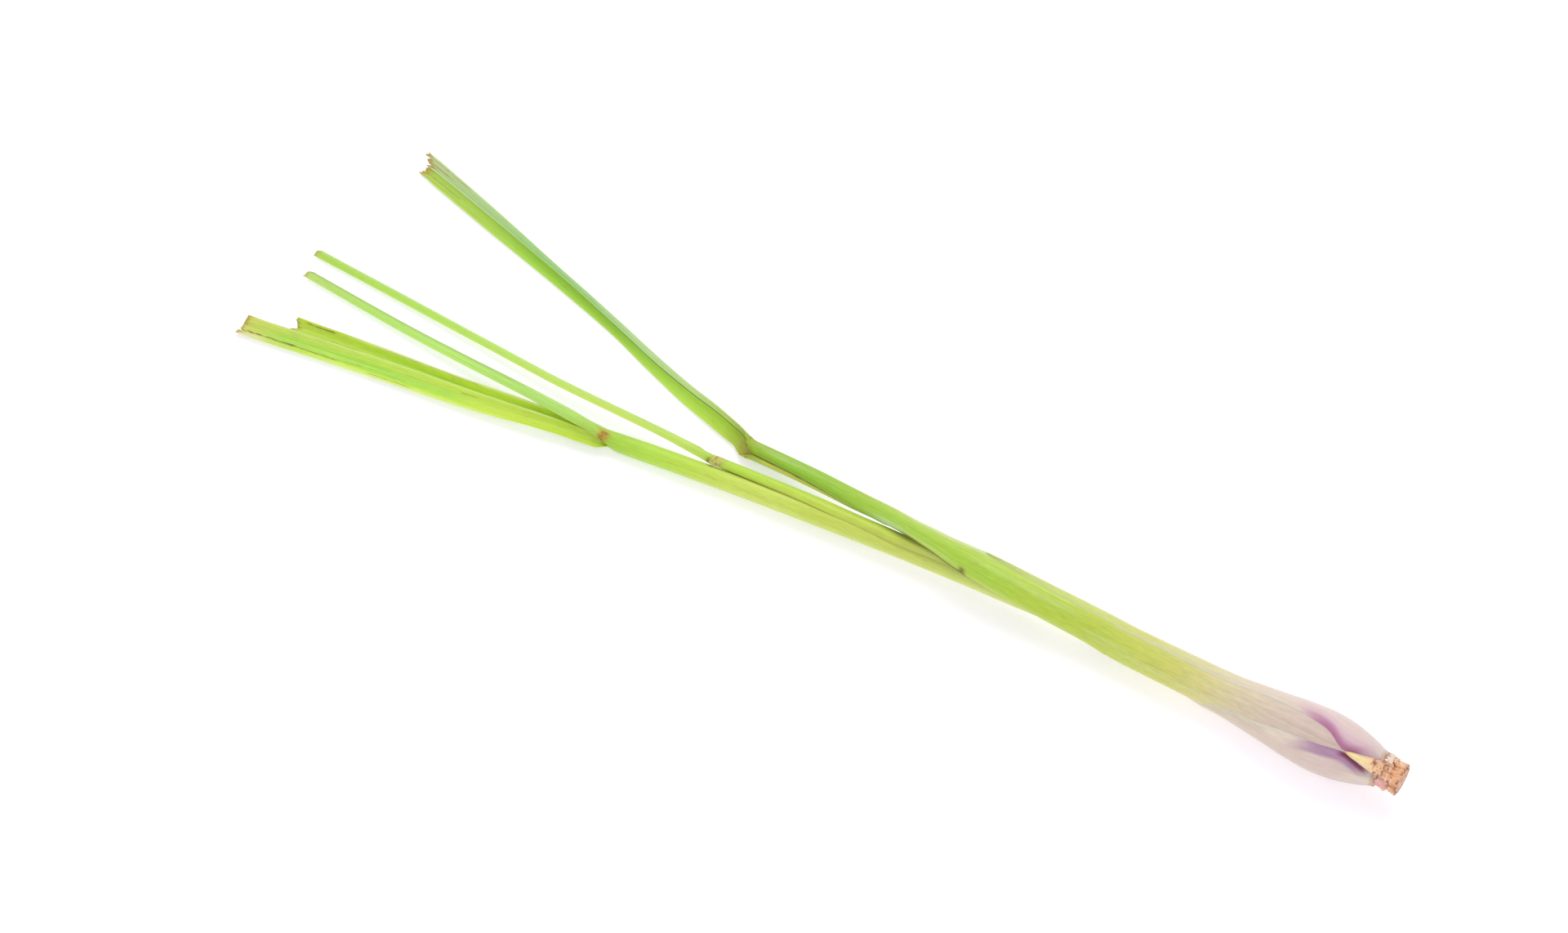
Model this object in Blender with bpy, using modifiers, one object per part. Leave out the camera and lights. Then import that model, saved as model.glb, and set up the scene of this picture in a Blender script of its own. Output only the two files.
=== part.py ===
"""A cut lemongrass stalk lying on a flat surface.

The cut root end points along +X and the leaf blades fan out along -X. Every
leaf is one closed solid: a rolled sheath which opens, past its collar, into a
folded blade. Each sheath lies inside the next older one, a small gap apart.

Lengths below are in millimetres. Angles are in degrees around the stalk,
counted from straight up (0) towards -Y (90) and on to straight down (180).
"""
import math
from collections import namedtuple

import bmesh
import bpy
from mathutils import Vector

MM = 0.001
COLLECTION_NAME = "lemongrass_stalk"

# ---- walls and gaps ---------------------------------------------------------
GAP = 0.3                # between neighbouring sheaths
SLIT_GAP = 0.45          # between leaf 1's margins and the bundle which comes out between them
LIFT_GAP = 0.15          # between leaf 2's margins and leaf 3, from which it lifts off
SEAM_GAP = 0.4           # between the margins of the outer sheath and the bud in its seam
LEAST_SLIT = 4.0         # degrees that a closed sheath's margins stop short of its opening
BLADE_THICKNESS = 0.5
MARGIN_THINNING = 0.6    # thickness at a leaf's margin, as a share of its middle
ARM_POINTS = 8           # steps from a leaf's midrib to each of its margins

# ---- places along the stalk -------------------------------------------------
ROOT_FACE_X = 195.5
NECK_X = 188.4
OUTER_TORN_X = 54.0      # the outer sheath's torn end
LEAF_1_TIP_X = -188.5
LEAF_2_TIP_X = -195.5
LEAF_3_TIP_X = -192.5
LEAF_4_TIP_X = -182.0
LEAF_5_TIP_X = -195.8
# How far each cut tip slants, from margin to margin.
LEAF_1_SLANT = -2.6
LEAF_2_SLANT = 0.5
LEAF_3_SLANT = 0.7
LEAF_4_SLANT = -3.0
LEAF_5_SLANT = -2.7
# Where each leaf opens out at its collar: the last of its tube, the first of its blade.
LEAF_1_COLLAR = (-29, -39)
LEAF_2_COLLAR = (-35, -48)
LEAF_3_COLLAR = (-72, -88)
LEAF_4_COLLAR = (-70, -96)
LEAF_5_COLLAR = (-66, -92)

# From here on each table's entries are (place along X, value), with a smooth
# curve between them.

# ---- axes -------------------------------------------------------------------
BUNDLE_Y = ((-73, -19.3), (-42, -14.9), (-6, -10.6), (27, -7.1), (55, -4.8), (67, -4.05),
            (74, -3.5), (82, -2.92), (90, -2.48), (98, -2.22), (116, -2.12), (140, -1.9),
            (200, -1.4))
BUNDLE_Z = ((-74, 3.2), (200, 11.0))
# How far leaf 1, peeled off the bundle, stands from it sideways and in height.
PEEL_Y = ((-34, 15.5), (-8, 11.7), (10, 8.1), (22, 5.9), (30, 4.0), (37, 2.8), (45, 1.6),
          (52, 1.05), (60, 0.6), (67, 0.3), (80, 0.0))
PEEL_Z = ((-34, -0.7), (-8, 1.4), (10, 3.4), (22, 4.8), (30, 5.7), (37, 5.9), (45, 5.6),
          (52, 5.2), (60, 4.6), (67, 4.0), (74, 3.1), (82, 2.1), (90, 1.2), (98, 0.5),
          (106, 0.0))
# How far leaf 2 stands from the bundle, and in which direction.
LIFT = ((-40, 4.3), (-14, 3.0), (0, 2.1), (14, 0.9), (27, 0.0))
LIFT_ANGLE = -57

# ---- outer sheath -----------------------------------------------------------
OUTER_ROWS = (NECK_X, (178, 4), (146, 9), (124, 5), (OUTER_TORN_X, 8))
OUTER_WALL = ((52, 0.45), (124, 0.6), (150, 1.0), (170, 1.15), (187, 0.7))
# Where its two margins lie around the stalk.
OUTER_UPPER_MARGIN = ((52, -20), (60, -8), (80, -5), (110, -6), (130, -3), (149, -13),
                      (156, -10), (165, 0), (171, 8), (178, 31), (187, 7))
OUTER_LOWER_MARGIN = ((52, 290), (66, 255), (95, 200), (112, 160), (128, 125), (137, 87),
                      (149, 66), (161, 49), (171, 42), (178, 35), (187, 57))
OUTER_TEAR = 3.0         # how far the torn end's teeth reach
OUTER_TEAR_STEP = 1.9    # radians of tooth from one point of the torn end to the next

# ---- leaf 1, which peels off to +Y ------------------------------------------
LEAF_1_ROWS = (186, (144, 8), (108, 4), (90, 8), (70, 6), (36, 6), (24, 4), (-28, 3), (-50, 7),
               (LEAF_1_TIP_X, 9))
LEAF_1_RADIUS = ((-34, 3.0), (24, 3.1), (38, 3.8), (52, 5.0), (66, 5.45), (84, 5.5),
                 (100, 5.5), (124, 5.65), (138, 5.7), (146, 6.3), (154, 7.1), (162, 8.0),
                 (169.5, 8.4), (175.5, 8.0), (182.5, 6.6), (188, 4.8))
LEAF_1_WALL = ((-34, 0.6), (60, 0.6), (124, 0.7), (150, 1.2), (170, 1.6), (186, 0.9))
LEAF_1_TUBE_OPENING = ((-34, 58), (-15, 74), (5, 100), (15, 122), (27, 138), (37, 155),
                       (45, 164), (60, 172), (80, 180), (150, 185))
LEAF_1_OPENING = ((-190, 30), (-158, 36), (-118, 46), (-78, 40), (-34, 45))
LEAF_1_MIDRIB_Y = ((-190, 45.0), (-158, 37.7), (-118, 27.9), (-94, 21.0), (-78, 16.1),
                   (-62, 11.8), (-48, 8.6), (-30, 4.4))
LEAF_1_MIDRIB_Z = ((-190, 0.5), (-90, 0.6), (-60, 0.8), (-46, 1.1), (-36, 1.5))
LEAF_1_FOLD = ((-190, 62), (-158, 56), (-118, 46), (-78, 52), (-34, 50))
LEAF_1_NEAR = ((-190, 4.4), (-158, 4.8), (-118, 4.2), (-94, 3.3), (-78, 3.2), (-48, 4.0),
               (-30, 3.8))
LEAF_1_FAR = ((-190, 4.8), (-158, 4.2), (-118, 3.9), (-78, 3.9), (-34, 3.9))
LEAF_1_CURL = 0.02       # per millimetre, the bend of each half of the blade

# ---- leaf 2, which lifts off the bundle -------------------------------------
LEAF_2_ROWS = (183, (144, 8), (90, 4), (58, 6), (-28, 6), (-56, 9), (LEAF_2_TIP_X, 7))
LEAF_2_RADIUS = ((-40, 2.2), (-14, 2.85), (0, 3.35), (14, 3.85), (27, 4.35), (40, 4.7),
                 (55, 5.0), (68, 4.9), (76, 4.5), (84, 4.2), (124, 4.1),
                 (140, 4.4), (154, 5.4), (169.5, 6.4), (178, 5.6), (183, 4.4))
LEAF_2_WALL = ((-40, 0.6), (124, 0.65), (150, 1.1), (170, 1.5), (183, 0.9))
LEAF_2_SLIT = ((-44, 112), (-36, 60), (0, 60), (12, 98), (60, 95), (84, 8), (100, 5))
LEAF_2_MIDRIB_Y = ((-196, -6.0), (-158, -6.9), (-125, -8.1), (-92, -9.2), (-61, -9.1),
                   (-44, -9.6))
LEAF_2_MIDRIB_Z = ((-196, 1.7), (-158, 2.3), (-125, 3.3), (-92, 4.6), (-61, 6.0), (-44, 7.0))
LEAF_2_FOLD = 62.0
LEAF_2_HALF_WIDTH = ((-196, 1.8), (-120, 1.75), (-60, 1.8), (-44, 2.1))

# ---- leaf 3 -----------------------------------------------------------------
LEAF_3_ROWS = (179, (144, 7), (-52, 13), (-58, 1), (-92, 12), (LEAF_3_TIP_X, 7))
LEAF_3_RADIUS = ((-74, 2.9), (-56, 3.1), (20, 3.1), (124, 3.1), (140, 3.3), (154, 3.9),
                 (169.5, 4.5), (179, 3.9))
LEAF_3_WALL = ((-74, 0.5), (124, 0.55), (150, 0.8), (170, 1.0), (179, 0.8))
LEAF_3_OPENING = ((-76, 160), (-64, 170), (0, 170))
LEAF_3_SLIT = ((-78, 125), (-73, 108), (-66, 22), (-60, 8), (0, 5))
LEAF_3_MIDRIB_Y = ((-192, -15.0), (-150, -17.0), (-130, -17.6), (-102, -18.2), (-86, -18.9),
                   (-74, -19.4))
LEAF_3_MIDRIB_Z = ((-192, 1.7), (-150, 2.7), (-130, 3.6), (-102, 5.1), (-86, 5.9), (-74, 6.2))
LEAF_3_FOLD = 64.0
LEAF_3_HALF_WIDTH = ((-192, 1.7), (-140, 2.0), (-86, 2.3), (-74, 2.5))

KEEL_OPENING = 178.0     # the strips of leaves 2 and 3 lie keel up
GUTTER_CURL = 0.05       # per millimetre, the bend of each half of every younger blade

# ---- leaf 4 -----------------------------------------------------------------
LEAF_4_ROWS = (175, (150, 4), (-56, 13), (-100, 10), (LEAF_4_TIP_X, 6))
LEAF_4_RADIUS = ((-74, 2.0), (-56, 2.2), (124, 2.4), (150, 2.6), (169.5, 3.1), (175, 3.0))
LEAF_4_WALL = ((-74, 0.5), (124, 0.55), (150, 0.8), (175, 0.9))
LEAF_4_TUBE_OPENING = 60.0
LEAF_4_SLIT = ((-76, 85), (-60, 25), (-40, 6), (0, 5))
LEAF_4_MIDRIB_Y = ((-182, -34.3), (-156, -30.2), (-126, -26.2), (-106, -22.9), (-90, -20.6),
                   (-70, -18.6))
LEAF_4_MIDRIB_Z = ((-182, 0.4), (-126, 0.5), (-96, 0.9), (-70, 1.6))
LEAF_4_OPENING = ((-182, 12), (-126, 14), (-96, 20), (-70, 45))
LEAF_4_FOLD = ((-182, 66), (-126, 66), (-96, 64), (-70, 70))
LEAF_4_NEAR = ((-182, 3.0), (-126, 3.2), (-96, 2.9), (-70, 3.2))
LEAF_4_FAR = ((-182, 3.0), (-126, 3.2), (-96, 3.0), (-70, 3.2))

# ---- leaf 5, the core -------------------------------------------------------
LEAF_5_ROWS = (171, (150, 3), (-56, 13), (-100, 10), (LEAF_5_TIP_X, 7))
LEAF_5_RADIUS = ((-74, 1.3), (-56, 1.4), (140, 1.5), (171, 1.8))
LEAF_5_WALL = ((-74, 0.5), (-56, 0.9), (171, 1.1))
LEAF_5_TUBE_OPENING = 30.0
LEAF_5_SLIT = ((-74, 60), (-56, 20), (0, 20))
LEAF_5_MIDRIB_Y = ((-196, -43.6), (-165, -37.6), (-141, -33.3), (-112, -28.6), (-92, -24.6),
                   (-74, -21.4))
LEAF_5_MIDRIB_Z = ((-196, 0.4), (-141, 0.6), (-112, 1.3), (-92, 2.3), (-74, 2.9))
LEAF_5_OPENING = ((-196, 8), (-92, 8), (-74, 25))
LEAF_5_FOLD = ((-196, 74), (-141, 72), (-112, 68), (-92, 64), (-74, 66))
LEAF_5_NEAR = ((-196, 4.0), (-141, 4.0), (-112, 3.6), (-92, 2.7), (-74, 2.2))
LEAF_5_FAR = ((-196, 4.0), (-141, 4.0), (-112, 3.6), (-92, 2.8), (-74, 2.2))

# ---- bud, scraps on the neck and stem ---------------------------------------
BUD_ROWS = (NECK_X + 0.6, (179.6, 5))
BUD_WALL = 1.0
BUD_PROUD = 0.35         # how far the bud stands out of the sheath around it

SCRAP_RADII = (5.7, 5.35)        # at a scrap's torn edge nearest the bulb, and at its other
SCRAP_WALL = 0.35
SCRAP_START_X = NECK_X + 0.6
SCRAP_JAG = 0.7
SCRAP_JAG_STEP = 2.4             # radians of tooth from one point to the next
# Middle of the scrap and half of what it spans around the stalk, and its far edge.
UPPER_SCRAP = (-30, 32, NECK_X + 2.6)
LOWER_SCRAP = (78, 16, NECK_X + 4.0)

# (place along X, radius), from the cut face over two scar rings to the growing point.
STEM_PROFILE = ((ROOT_FACE_X, 0.0), (ROOT_FACE_X, 4.4), (194.9, 4.75), (192.5, 4.6), (191.7, 4.85),
                (188.9, 4.6), (188.1, 4.8), (187.4, 4.3), (186.4, 3.3), (183.0, 2.9),
                (178.0, 2.0), (174.0, 1.2), (172.0, 0.0))
STEM_SIDES = 20

Section = namedtuple("Section", "midrib opening fold curl near far thickness")


# ---- curves and sections ----------------------------------------------------

def along(x, stops):
    """The value at x of a smooth curve through the stops, which never overshoots them."""
    if x <= stops[0][0]:
        return stops[0][1]
    if x >= stops[-1][0]:
        return stops[-1][1]
    slopes = [(b[1] - a[1]) / (b[0] - a[0]) for a, b in zip(stops, stops[1:])]
    place = max(i for i in range(len(slopes)) if stops[i][0] <= x)

    def tangent(i):
        if i == 0 or i == len(slopes):
            return slopes[min(i, len(slopes) - 1)]
        before, after = slopes[i - 1], slopes[i]
        return 0.0 if before * after <= 0 else 2 * before * after / (before + after)

    (x0, v0), (x1, v1) = stops[place], stops[place + 1]
    span = x1 - x0
    t = (x - x0) / span
    return (v0 * (1 + 2 * t) * (1 - t) ** 2 + v1 * t * t * (3 - 2 * t)
            + span * (tangent(place) * t * (1 - t) ** 2 - tangent(place + 1) * t * t * (1 - t)))


def ramp(x, start, end):
    """0 at start and 1 at end, with a smooth rise between them."""
    t = min(1.0, max(0.0, (x - start) / (end - start)))
    return t * t * (3 - 2 * t)


def towards(angle):
    """The (y, z) direction at an angle around the stalk."""
    return Vector((-math.sin(math.radians(angle)), math.cos(math.radians(angle))))


def bundle_axis(x):
    return Vector((along(x, BUNDLE_Y), along(x, BUNDLE_Z)))


def peeled_axis(x):
    return bundle_axis(x) + Vector((along(x, PEEL_Y), along(x, PEEL_Z)))


def tube(axis, outside_radius, wall, opening, slit):
    """A rolled sheath's section, whose margins stop slit degrees to each side of its opening."""
    radius = outside_radius - wall / 2
    arm = math.radians(180 - slit) * radius
    return Section(midrib=axis - radius * towards(opening), opening=opening, fold=90.0,
                   curl=1 / radius, near=arm, far=arm, thickness=wall)


def blend(first, second, share):
    """A section between two others."""
    return Section(*(a + (b - a) * share for a, b in zip(first, second)))


def section_points(section):
    """Points across a leaf, from its near margin over its midrib to its far margin."""
    arms = []
    for side, length in ((1, section.near), (-1, section.far)):
        step = length / ARM_POINTS
        half_turn = section.curl * step / 2
        chord = step * math.sin(half_turn) / half_turn
        point, points = section.midrib.copy(), []
        for index in range(ARM_POINTS):
            turned = math.degrees(section.curl * step * (index + 0.5))
            point = point + chord * towards(section.opening + side * (section.fold - turned))
            points.append(point)
        arms.append(points)
    return arms[0][::-1] + [section.midrib] + arms[1]


def stations(start, *legs):
    """Places along X: from start, each leg runs to its end in a number of equal steps."""
    places = [float(start)]
    for end, count in legs:
        first = places[-1]
        places += [first + (end - first) * (i + 1) / count for i in range(count)]
    return places


# ---- the leaves' sections ---------------------------------------------------

def outer_radius(x):
    return along(x, LEAF_1_RADIUS) + GAP + along(x, OUTER_WALL)


def outer_seam(x):
    """The middle of the gap between the outer sheath's margins, and half its width."""
    upper, lower = along(x, OUTER_UPPER_MARGIN), along(x, OUTER_LOWER_MARGIN)
    return (upper + lower) / 2, (lower - upper) / 2


def outer_sheath_section(x):
    return tube(peeled_axis(x), outer_radius(x), along(x, OUTER_WALL), *outer_seam(x))


def slit_round(radius, inner_radius, apart, least):
    """Half the slit, in degrees, that a sheath needs to let out a round bundle beside its axis."""
    if not abs(radius - inner_radius) < apart < radius + inner_radius:
        return least
    cosine = (apart ** 2 + radius ** 2 - inner_radius ** 2) / (2 * apart * radius)
    return max(least, math.degrees(math.acos(cosine)))


def leaf_1_section(x):
    """A tube round the bundle, which lets it out through its slit and closes up behind it."""
    wall, radius = along(x, LEAF_1_WALL), along(x, LEAF_1_RADIUS)
    apart = math.hypot(along(x, PEEL_Y), along(x, PEEL_Z))
    bundle_reach = along(x, LEAF_2_RADIUS) + SLIT_GAP + wall / 2
    slit = slit_round(radius - wall / 2, bundle_reach, apart, LEAST_SLIT)
    rolled = tube(peeled_axis(x), radius, wall, along(x, LEAF_1_TUBE_OPENING), slit)
    blade = Section(midrib=Vector((along(x, LEAF_1_MIDRIB_Y), along(x, LEAF_1_MIDRIB_Z))),
                    opening=along(x, LEAF_1_OPENING), fold=along(x, LEAF_1_FOLD),
                    curl=LEAF_1_CURL, near=along(x, LEAF_1_NEAR), far=along(x, LEAF_1_FAR),
                    thickness=BLADE_THICKNESS)
    return blend(rolled, blade, ramp(x, *LEAF_1_COLLAR))


def leaf_2_section(x):
    """A tube round the bundle, which lifts off it as a gutter and narrows to a keeled strip."""
    wall, radius = along(x, LEAF_2_WALL), along(x, LEAF_2_RADIUS)
    bundle_reach = along(x, LEAF_3_RADIUS) + LIFT_GAP + wall / 2
    slit = slit_round(radius - wall / 2, bundle_reach, along(x, LIFT), along(x, LEAF_2_SLIT))
    axis = bundle_axis(x) + along(x, LIFT) * towards(LIFT_ANGLE)
    rolled = tube(axis, radius, wall, LIFT_ANGLE + 180, slit)
    half_width = along(x, LEAF_2_HALF_WIDTH)
    strip = Section(midrib=Vector((along(x, LEAF_2_MIDRIB_Y), along(x, LEAF_2_MIDRIB_Z))),
                    opening=KEEL_OPENING, fold=LEAF_2_FOLD, curl=GUTTER_CURL,
                    near=half_width, far=half_width, thickness=BLADE_THICKNESS)
    return blend(rolled, strip, ramp(x, *LEAF_2_COLLAR))


def leaf_3_section(x):
    """A tube up to its collar, where only its keeled strip runs on."""
    rolled = tube(bundle_axis(x), along(x, LEAF_3_RADIUS), along(x, LEAF_3_WALL),
                  along(x, LEAF_3_OPENING), along(x, LEAF_3_SLIT))
    half_width = along(x, LEAF_3_HALF_WIDTH)
    strip = Section(midrib=Vector((along(x, LEAF_3_MIDRIB_Y), along(x, LEAF_3_MIDRIB_Z))),
                    opening=KEEL_OPENING, fold=LEAF_3_FOLD, curl=GUTTER_CURL,
                    near=half_width, far=half_width, thickness=BLADE_THICKNESS)
    return blend(rolled, strip, ramp(x, *LEAF_3_COLLAR))


def leaf_4_section(x):
    """A gutter which carries leaf 5 and slips out from under it."""
    rolled = tube(bundle_axis(x), along(x, LEAF_4_RADIUS), along(x, LEAF_4_WALL),
                  LEAF_4_TUBE_OPENING, along(x, LEAF_4_SLIT))
    blade = Section(midrib=Vector((along(x, LEAF_4_MIDRIB_Y), along(x, LEAF_4_MIDRIB_Z))),
                    opening=along(x, LEAF_4_OPENING), fold=along(x, LEAF_4_FOLD),
                    curl=GUTTER_CURL, near=along(x, LEAF_4_NEAR), far=along(x, LEAF_4_FAR),
                    thickness=BLADE_THICKNESS)
    return blend(rolled, blade, ramp(x, *LEAF_4_COLLAR))


def leaf_5_section(x):
    """The rolled core of the stalk, which ends in the widest blade."""
    rolled = tube(bundle_axis(x), along(x, LEAF_5_RADIUS), along(x, LEAF_5_WALL),
                  LEAF_5_TUBE_OPENING, along(x, LEAF_5_SLIT))
    blade = Section(midrib=Vector((along(x, LEAF_5_MIDRIB_Y), along(x, LEAF_5_MIDRIB_Z))),
                    opening=along(x, LEAF_5_OPENING), fold=along(x, LEAF_5_FOLD),
                    curl=GUTTER_CURL, near=along(x, LEAF_5_NEAR), far=along(x, LEAF_5_FAR),
                    thickness=BLADE_THICKNESS)
    return blend(rolled, blade, ramp(x, *LEAF_5_COLLAR))


def tiller_bud_section(x):
    """A pointed scale in the seam of the outer sheath."""
    middle, half_span = outer_seam(x)
    radius = outer_radius(x) + BUD_PROUD
    clear = math.degrees(SEAM_GAP / radius)
    return tube(peeled_axis(x), radius, BUD_WALL, middle + 180, 180 - half_span + clear)


# ---- building ---------------------------------------------------------------

def clear_scene():
    for item in list(bpy.data.objects):
        bpy.data.objects.remove(item, do_unlink=True)


def collection():
    existing = bpy.data.collections.get(COLLECTION_NAME)
    if existing:
        return existing
    made = bpy.data.collections.new(COLLECTION_NAME)
    bpy.context.scene.collection.children.link(made)
    return made


def material(name, color, roughness):
    made = bpy.data.materials.new(name)
    made.use_nodes = True
    shader = made.node_tree.nodes["Principled BSDF"]
    shader.inputs["Base Color"].default_value = (*color, 1.0)
    shader.inputs["Roughness"].default_value = roughness
    shader.inputs["Metallic"].default_value = 0.0
    return made


def leaf(name, section_at, rows, look, slant=0.0, teeth=None):
    """One closed leaf: a sheet through its sections, thickened to both sides.

    The sheet's last row slants by so many millimetres from margin to margin, and
    teeth gives each of that row's points its own step along X, for a torn end.
    """
    places = stations(*rows)
    sections = [section_at(x) for x in places]
    thickest = max(section.thickness for section in sections)
    width = 2 * ARM_POINTS
    mesh = bmesh.new()
    layer = mesh.verts.layers.deform.verify()
    grid = []
    for row, (x, section) in enumerate(zip(places, sections)):
        at_tip = row == len(places) - 1
        verts = []
        for column, point in enumerate(section_points(section)):
            across = column / width - 0.5
            shift = slant * across if at_tip else 0.0
            if at_tip and teeth:
                shift += teeth(column)
            vert = mesh.verts.new((MM * (x + shift), MM * point.x, MM * point.y))
            thinning = 1 - (1 - MARGIN_THINNING) * abs(2 * across) ** 3
            vert[layer][0] = thinning * section.thickness / thickest
            verts.append(vert)
        grid.append(verts)
    for first, second in zip(grid, grid[1:]):
        for column in range(width):
            mesh.faces.new((first[column], first[column + 1], second[column + 1],
                            second[column]))
    data = bpy.data.meshes.new(name)
    mesh.to_mesh(data)
    mesh.free()
    data.materials.append(look)
    data.shade_smooth()
    item = bpy.data.objects.new(name, data)
    item.vertex_groups.new(name="wall")
    collection().objects.link(item)
    solid = item.modifiers.new("wall", "SOLIDIFY")
    solid.thickness = MM * thickest
    solid.offset = 0.0
    solid.use_even_offset = True
    solid.vertex_group = "wall"
    solid.thickness_vertex_group = 0.0
    return item


def build_neck_scale(name, middle, half_span, end_x, look):
    """A thin scrap of an old leaf base lying round the neck."""
    wide, narrow = SCRAP_RADII

    def section_at(x):
        radius = wide + (narrow - wide) * ramp(x, SCRAP_START_X, end_x)
        return tube(peeled_axis(x), radius, SCRAP_WALL, middle + 180, 180 - half_span)

    leaf(name, section_at, (end_x, (SCRAP_START_X, 3)), look,
         teeth=lambda column: SCRAP_JAG * math.sin(SCRAP_JAG_STEP * column))


def build_stem_base(look):
    """A solid turned round the stalk's axis, which is X here."""
    points = [(MM * radius, 0, MM * x) for x, radius in STEM_PROFILE]
    data = bpy.data.meshes.new("stem_base")
    data.from_pydata(points, [(i, i + 1) for i in range(len(points) - 1)], [])
    data.materials.append(look)
    item = bpy.data.objects.new("stem_base", data)
    axis = peeled_axis(NECK_X)
    item.location = (0, MM * axis.x, MM * axis.y)
    item.rotation_euler = (0, math.radians(90), 0)
    collection().objects.link(item)
    screw = item.modifiers.new("turn", "SCREW")
    screw.steps = STEM_SIDES
    screw.render_steps = STEM_SIDES
    screw.use_merge_vertices = True
    screw.merge_threshold = 1e-5


def build():
    clear_scene()
    green = material("leaf_green", (0.40, 0.60, 0.12), 0.4)
    yellow_green = material("blade_yellow_green", (0.52, 0.70, 0.12), 0.4)
    pale_green = material("blade_pale_green", (0.45, 0.72, 0.25), 0.4)
    blush = material("sheath_blush", (0.72, 0.58, 0.50), 0.4)
    wood = material("stem_wood", (0.80, 0.55, 0.33), 0.7)
    yellow = material("bud_yellow", (0.86, 0.72, 0.42), 0.5)
    papery = material("scale_pale", (0.86, 0.74, 0.66), 0.7)

    leaf("outer_sheath", outer_sheath_section, OUTER_ROWS, blush,
         teeth=lambda column: OUTER_TEAR * math.sin(OUTER_TEAR_STEP * column))
    leaf("leaf_1", leaf_1_section, LEAF_1_ROWS, green, slant=LEAF_1_SLANT)
    leaf("leaf_2", leaf_2_section, LEAF_2_ROWS, pale_green, slant=LEAF_2_SLANT)
    leaf("leaf_3", leaf_3_section, LEAF_3_ROWS, pale_green, slant=LEAF_3_SLANT)
    leaf("leaf_4", leaf_4_section, LEAF_4_ROWS, yellow_green, slant=LEAF_4_SLANT)
    leaf("leaf_5", leaf_5_section, LEAF_5_ROWS, yellow_green, slant=LEAF_5_SLANT)
    leaf("tiller_bud", tiller_bud_section, BUD_ROWS, yellow)
    build_neck_scale("neck_scale_upper", *UPPER_SCRAP, papery)
    build_neck_scale("neck_scale_lower", *LOWER_SCRAP, papery)
    build_stem_base(wood)


build()
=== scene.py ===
"""The looks of a cut lemongrass stalk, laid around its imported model.

Every leaf is made again at a fine grain: the same sections as the model's,
with veins, torn ends, thin margins and the colours of its tissue. Lengths are
in millimetres up to the mesh, which is in metres. Angles are in degrees around
the stalk, from straight up (0) towards -Y (90) and on to straight down (180).
"""
import math
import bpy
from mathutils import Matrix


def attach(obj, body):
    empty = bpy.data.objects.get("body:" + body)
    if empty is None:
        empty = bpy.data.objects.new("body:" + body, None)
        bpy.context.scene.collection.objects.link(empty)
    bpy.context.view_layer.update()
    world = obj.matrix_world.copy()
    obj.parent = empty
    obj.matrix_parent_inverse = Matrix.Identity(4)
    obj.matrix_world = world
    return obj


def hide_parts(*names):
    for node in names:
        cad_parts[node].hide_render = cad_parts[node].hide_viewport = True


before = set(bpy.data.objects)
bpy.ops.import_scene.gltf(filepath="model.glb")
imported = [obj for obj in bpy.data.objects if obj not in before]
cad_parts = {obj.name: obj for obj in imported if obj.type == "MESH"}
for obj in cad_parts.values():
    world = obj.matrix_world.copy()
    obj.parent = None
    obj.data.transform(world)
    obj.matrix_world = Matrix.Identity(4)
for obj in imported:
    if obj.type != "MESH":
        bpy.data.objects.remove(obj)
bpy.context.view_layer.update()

from types import SimpleNamespace

import bpy
import numpy as np
from mathutils import Vector

MM = 0.001
BODY = "root"

# ---- the model's driving sizes, a few of them changed for the finer shapes ---
GAP = 0.3
SLIT_GAP = 0.45
LIFT_GAP = 0.15
LEAST_SLIT = 1.2         # degrees; the model's is wider
BLADE_THICKNESS = 0.5
NECK_X = 188.4
OUTER_TORN_X = 54.0

# Each entry is (place along X, value), with a smooth curve between them.
BUNDLE_Y = ((-73, -19.3), (-42, -14.9), (-6, -10.6), (27, -7.1), (55, -4.8), (67, -4.05),
            (74, -3.5), (82, -2.92), (90, -2.48), (98, -2.22), (116, -2.12), (140, -1.9),
            (200, -1.4))
BUNDLE_Z = ((-74, 3.2), (200, 11.0))
PEEL_Y = ((-34, 15.5), (-8, 11.7), (10, 8.1), (22, 5.9), (30, 4.0), (37, 2.8), (45, 1.6),
          (52, 1.05), (60, 0.6), (67, 0.3), (80, 0.0))
PEEL_Z = ((-34, -0.7), (-8, 1.4), (10, 3.4), (22, 4.8), (30, 5.7), (37, 5.9), (45, 5.6),
          (52, 5.2), (60, 4.6), (67, 4.0), (74, 3.1), (82, 2.1), (90, 1.2), (98, 0.5),
          (106, 0.0))
LIFT = ((-40, 4.3), (-14, 3.0), (0, 2.1), (14, 0.9), (27, 0.0))
LIFT_ANGLE = -57

OUTER_WALL = ((52, 0.45), (124, 0.6), (150, 1.0), (170, 1.15), (187, 0.7))
OUTER_UPPER_MARGIN = ((52, -20), (60, -8), (80, -5), (110, -6), (130, -3), (149, -13),
                      (156, -10), (165, 0), (171, 8), (178, 31), (187, 7))
OUTER_LOWER_MARGIN = ((52, 290), (66, 255), (95, 200), (112, 160), (128, 125), (137, 87),
                      (149, 66), (161, 49), (171, 42), (178, 35), (187, 57))

CURL = 0.05              # how fast most blades' halves bend, in radians a millimetre


def keeled(half_width):
    """The blade's sizes of a narrow leaf, which lies with its keel up."""
    return {"opening": 178.0, "fold": 70.0, "curl": CURL, "near": half_width, "far": half_width}


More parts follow.
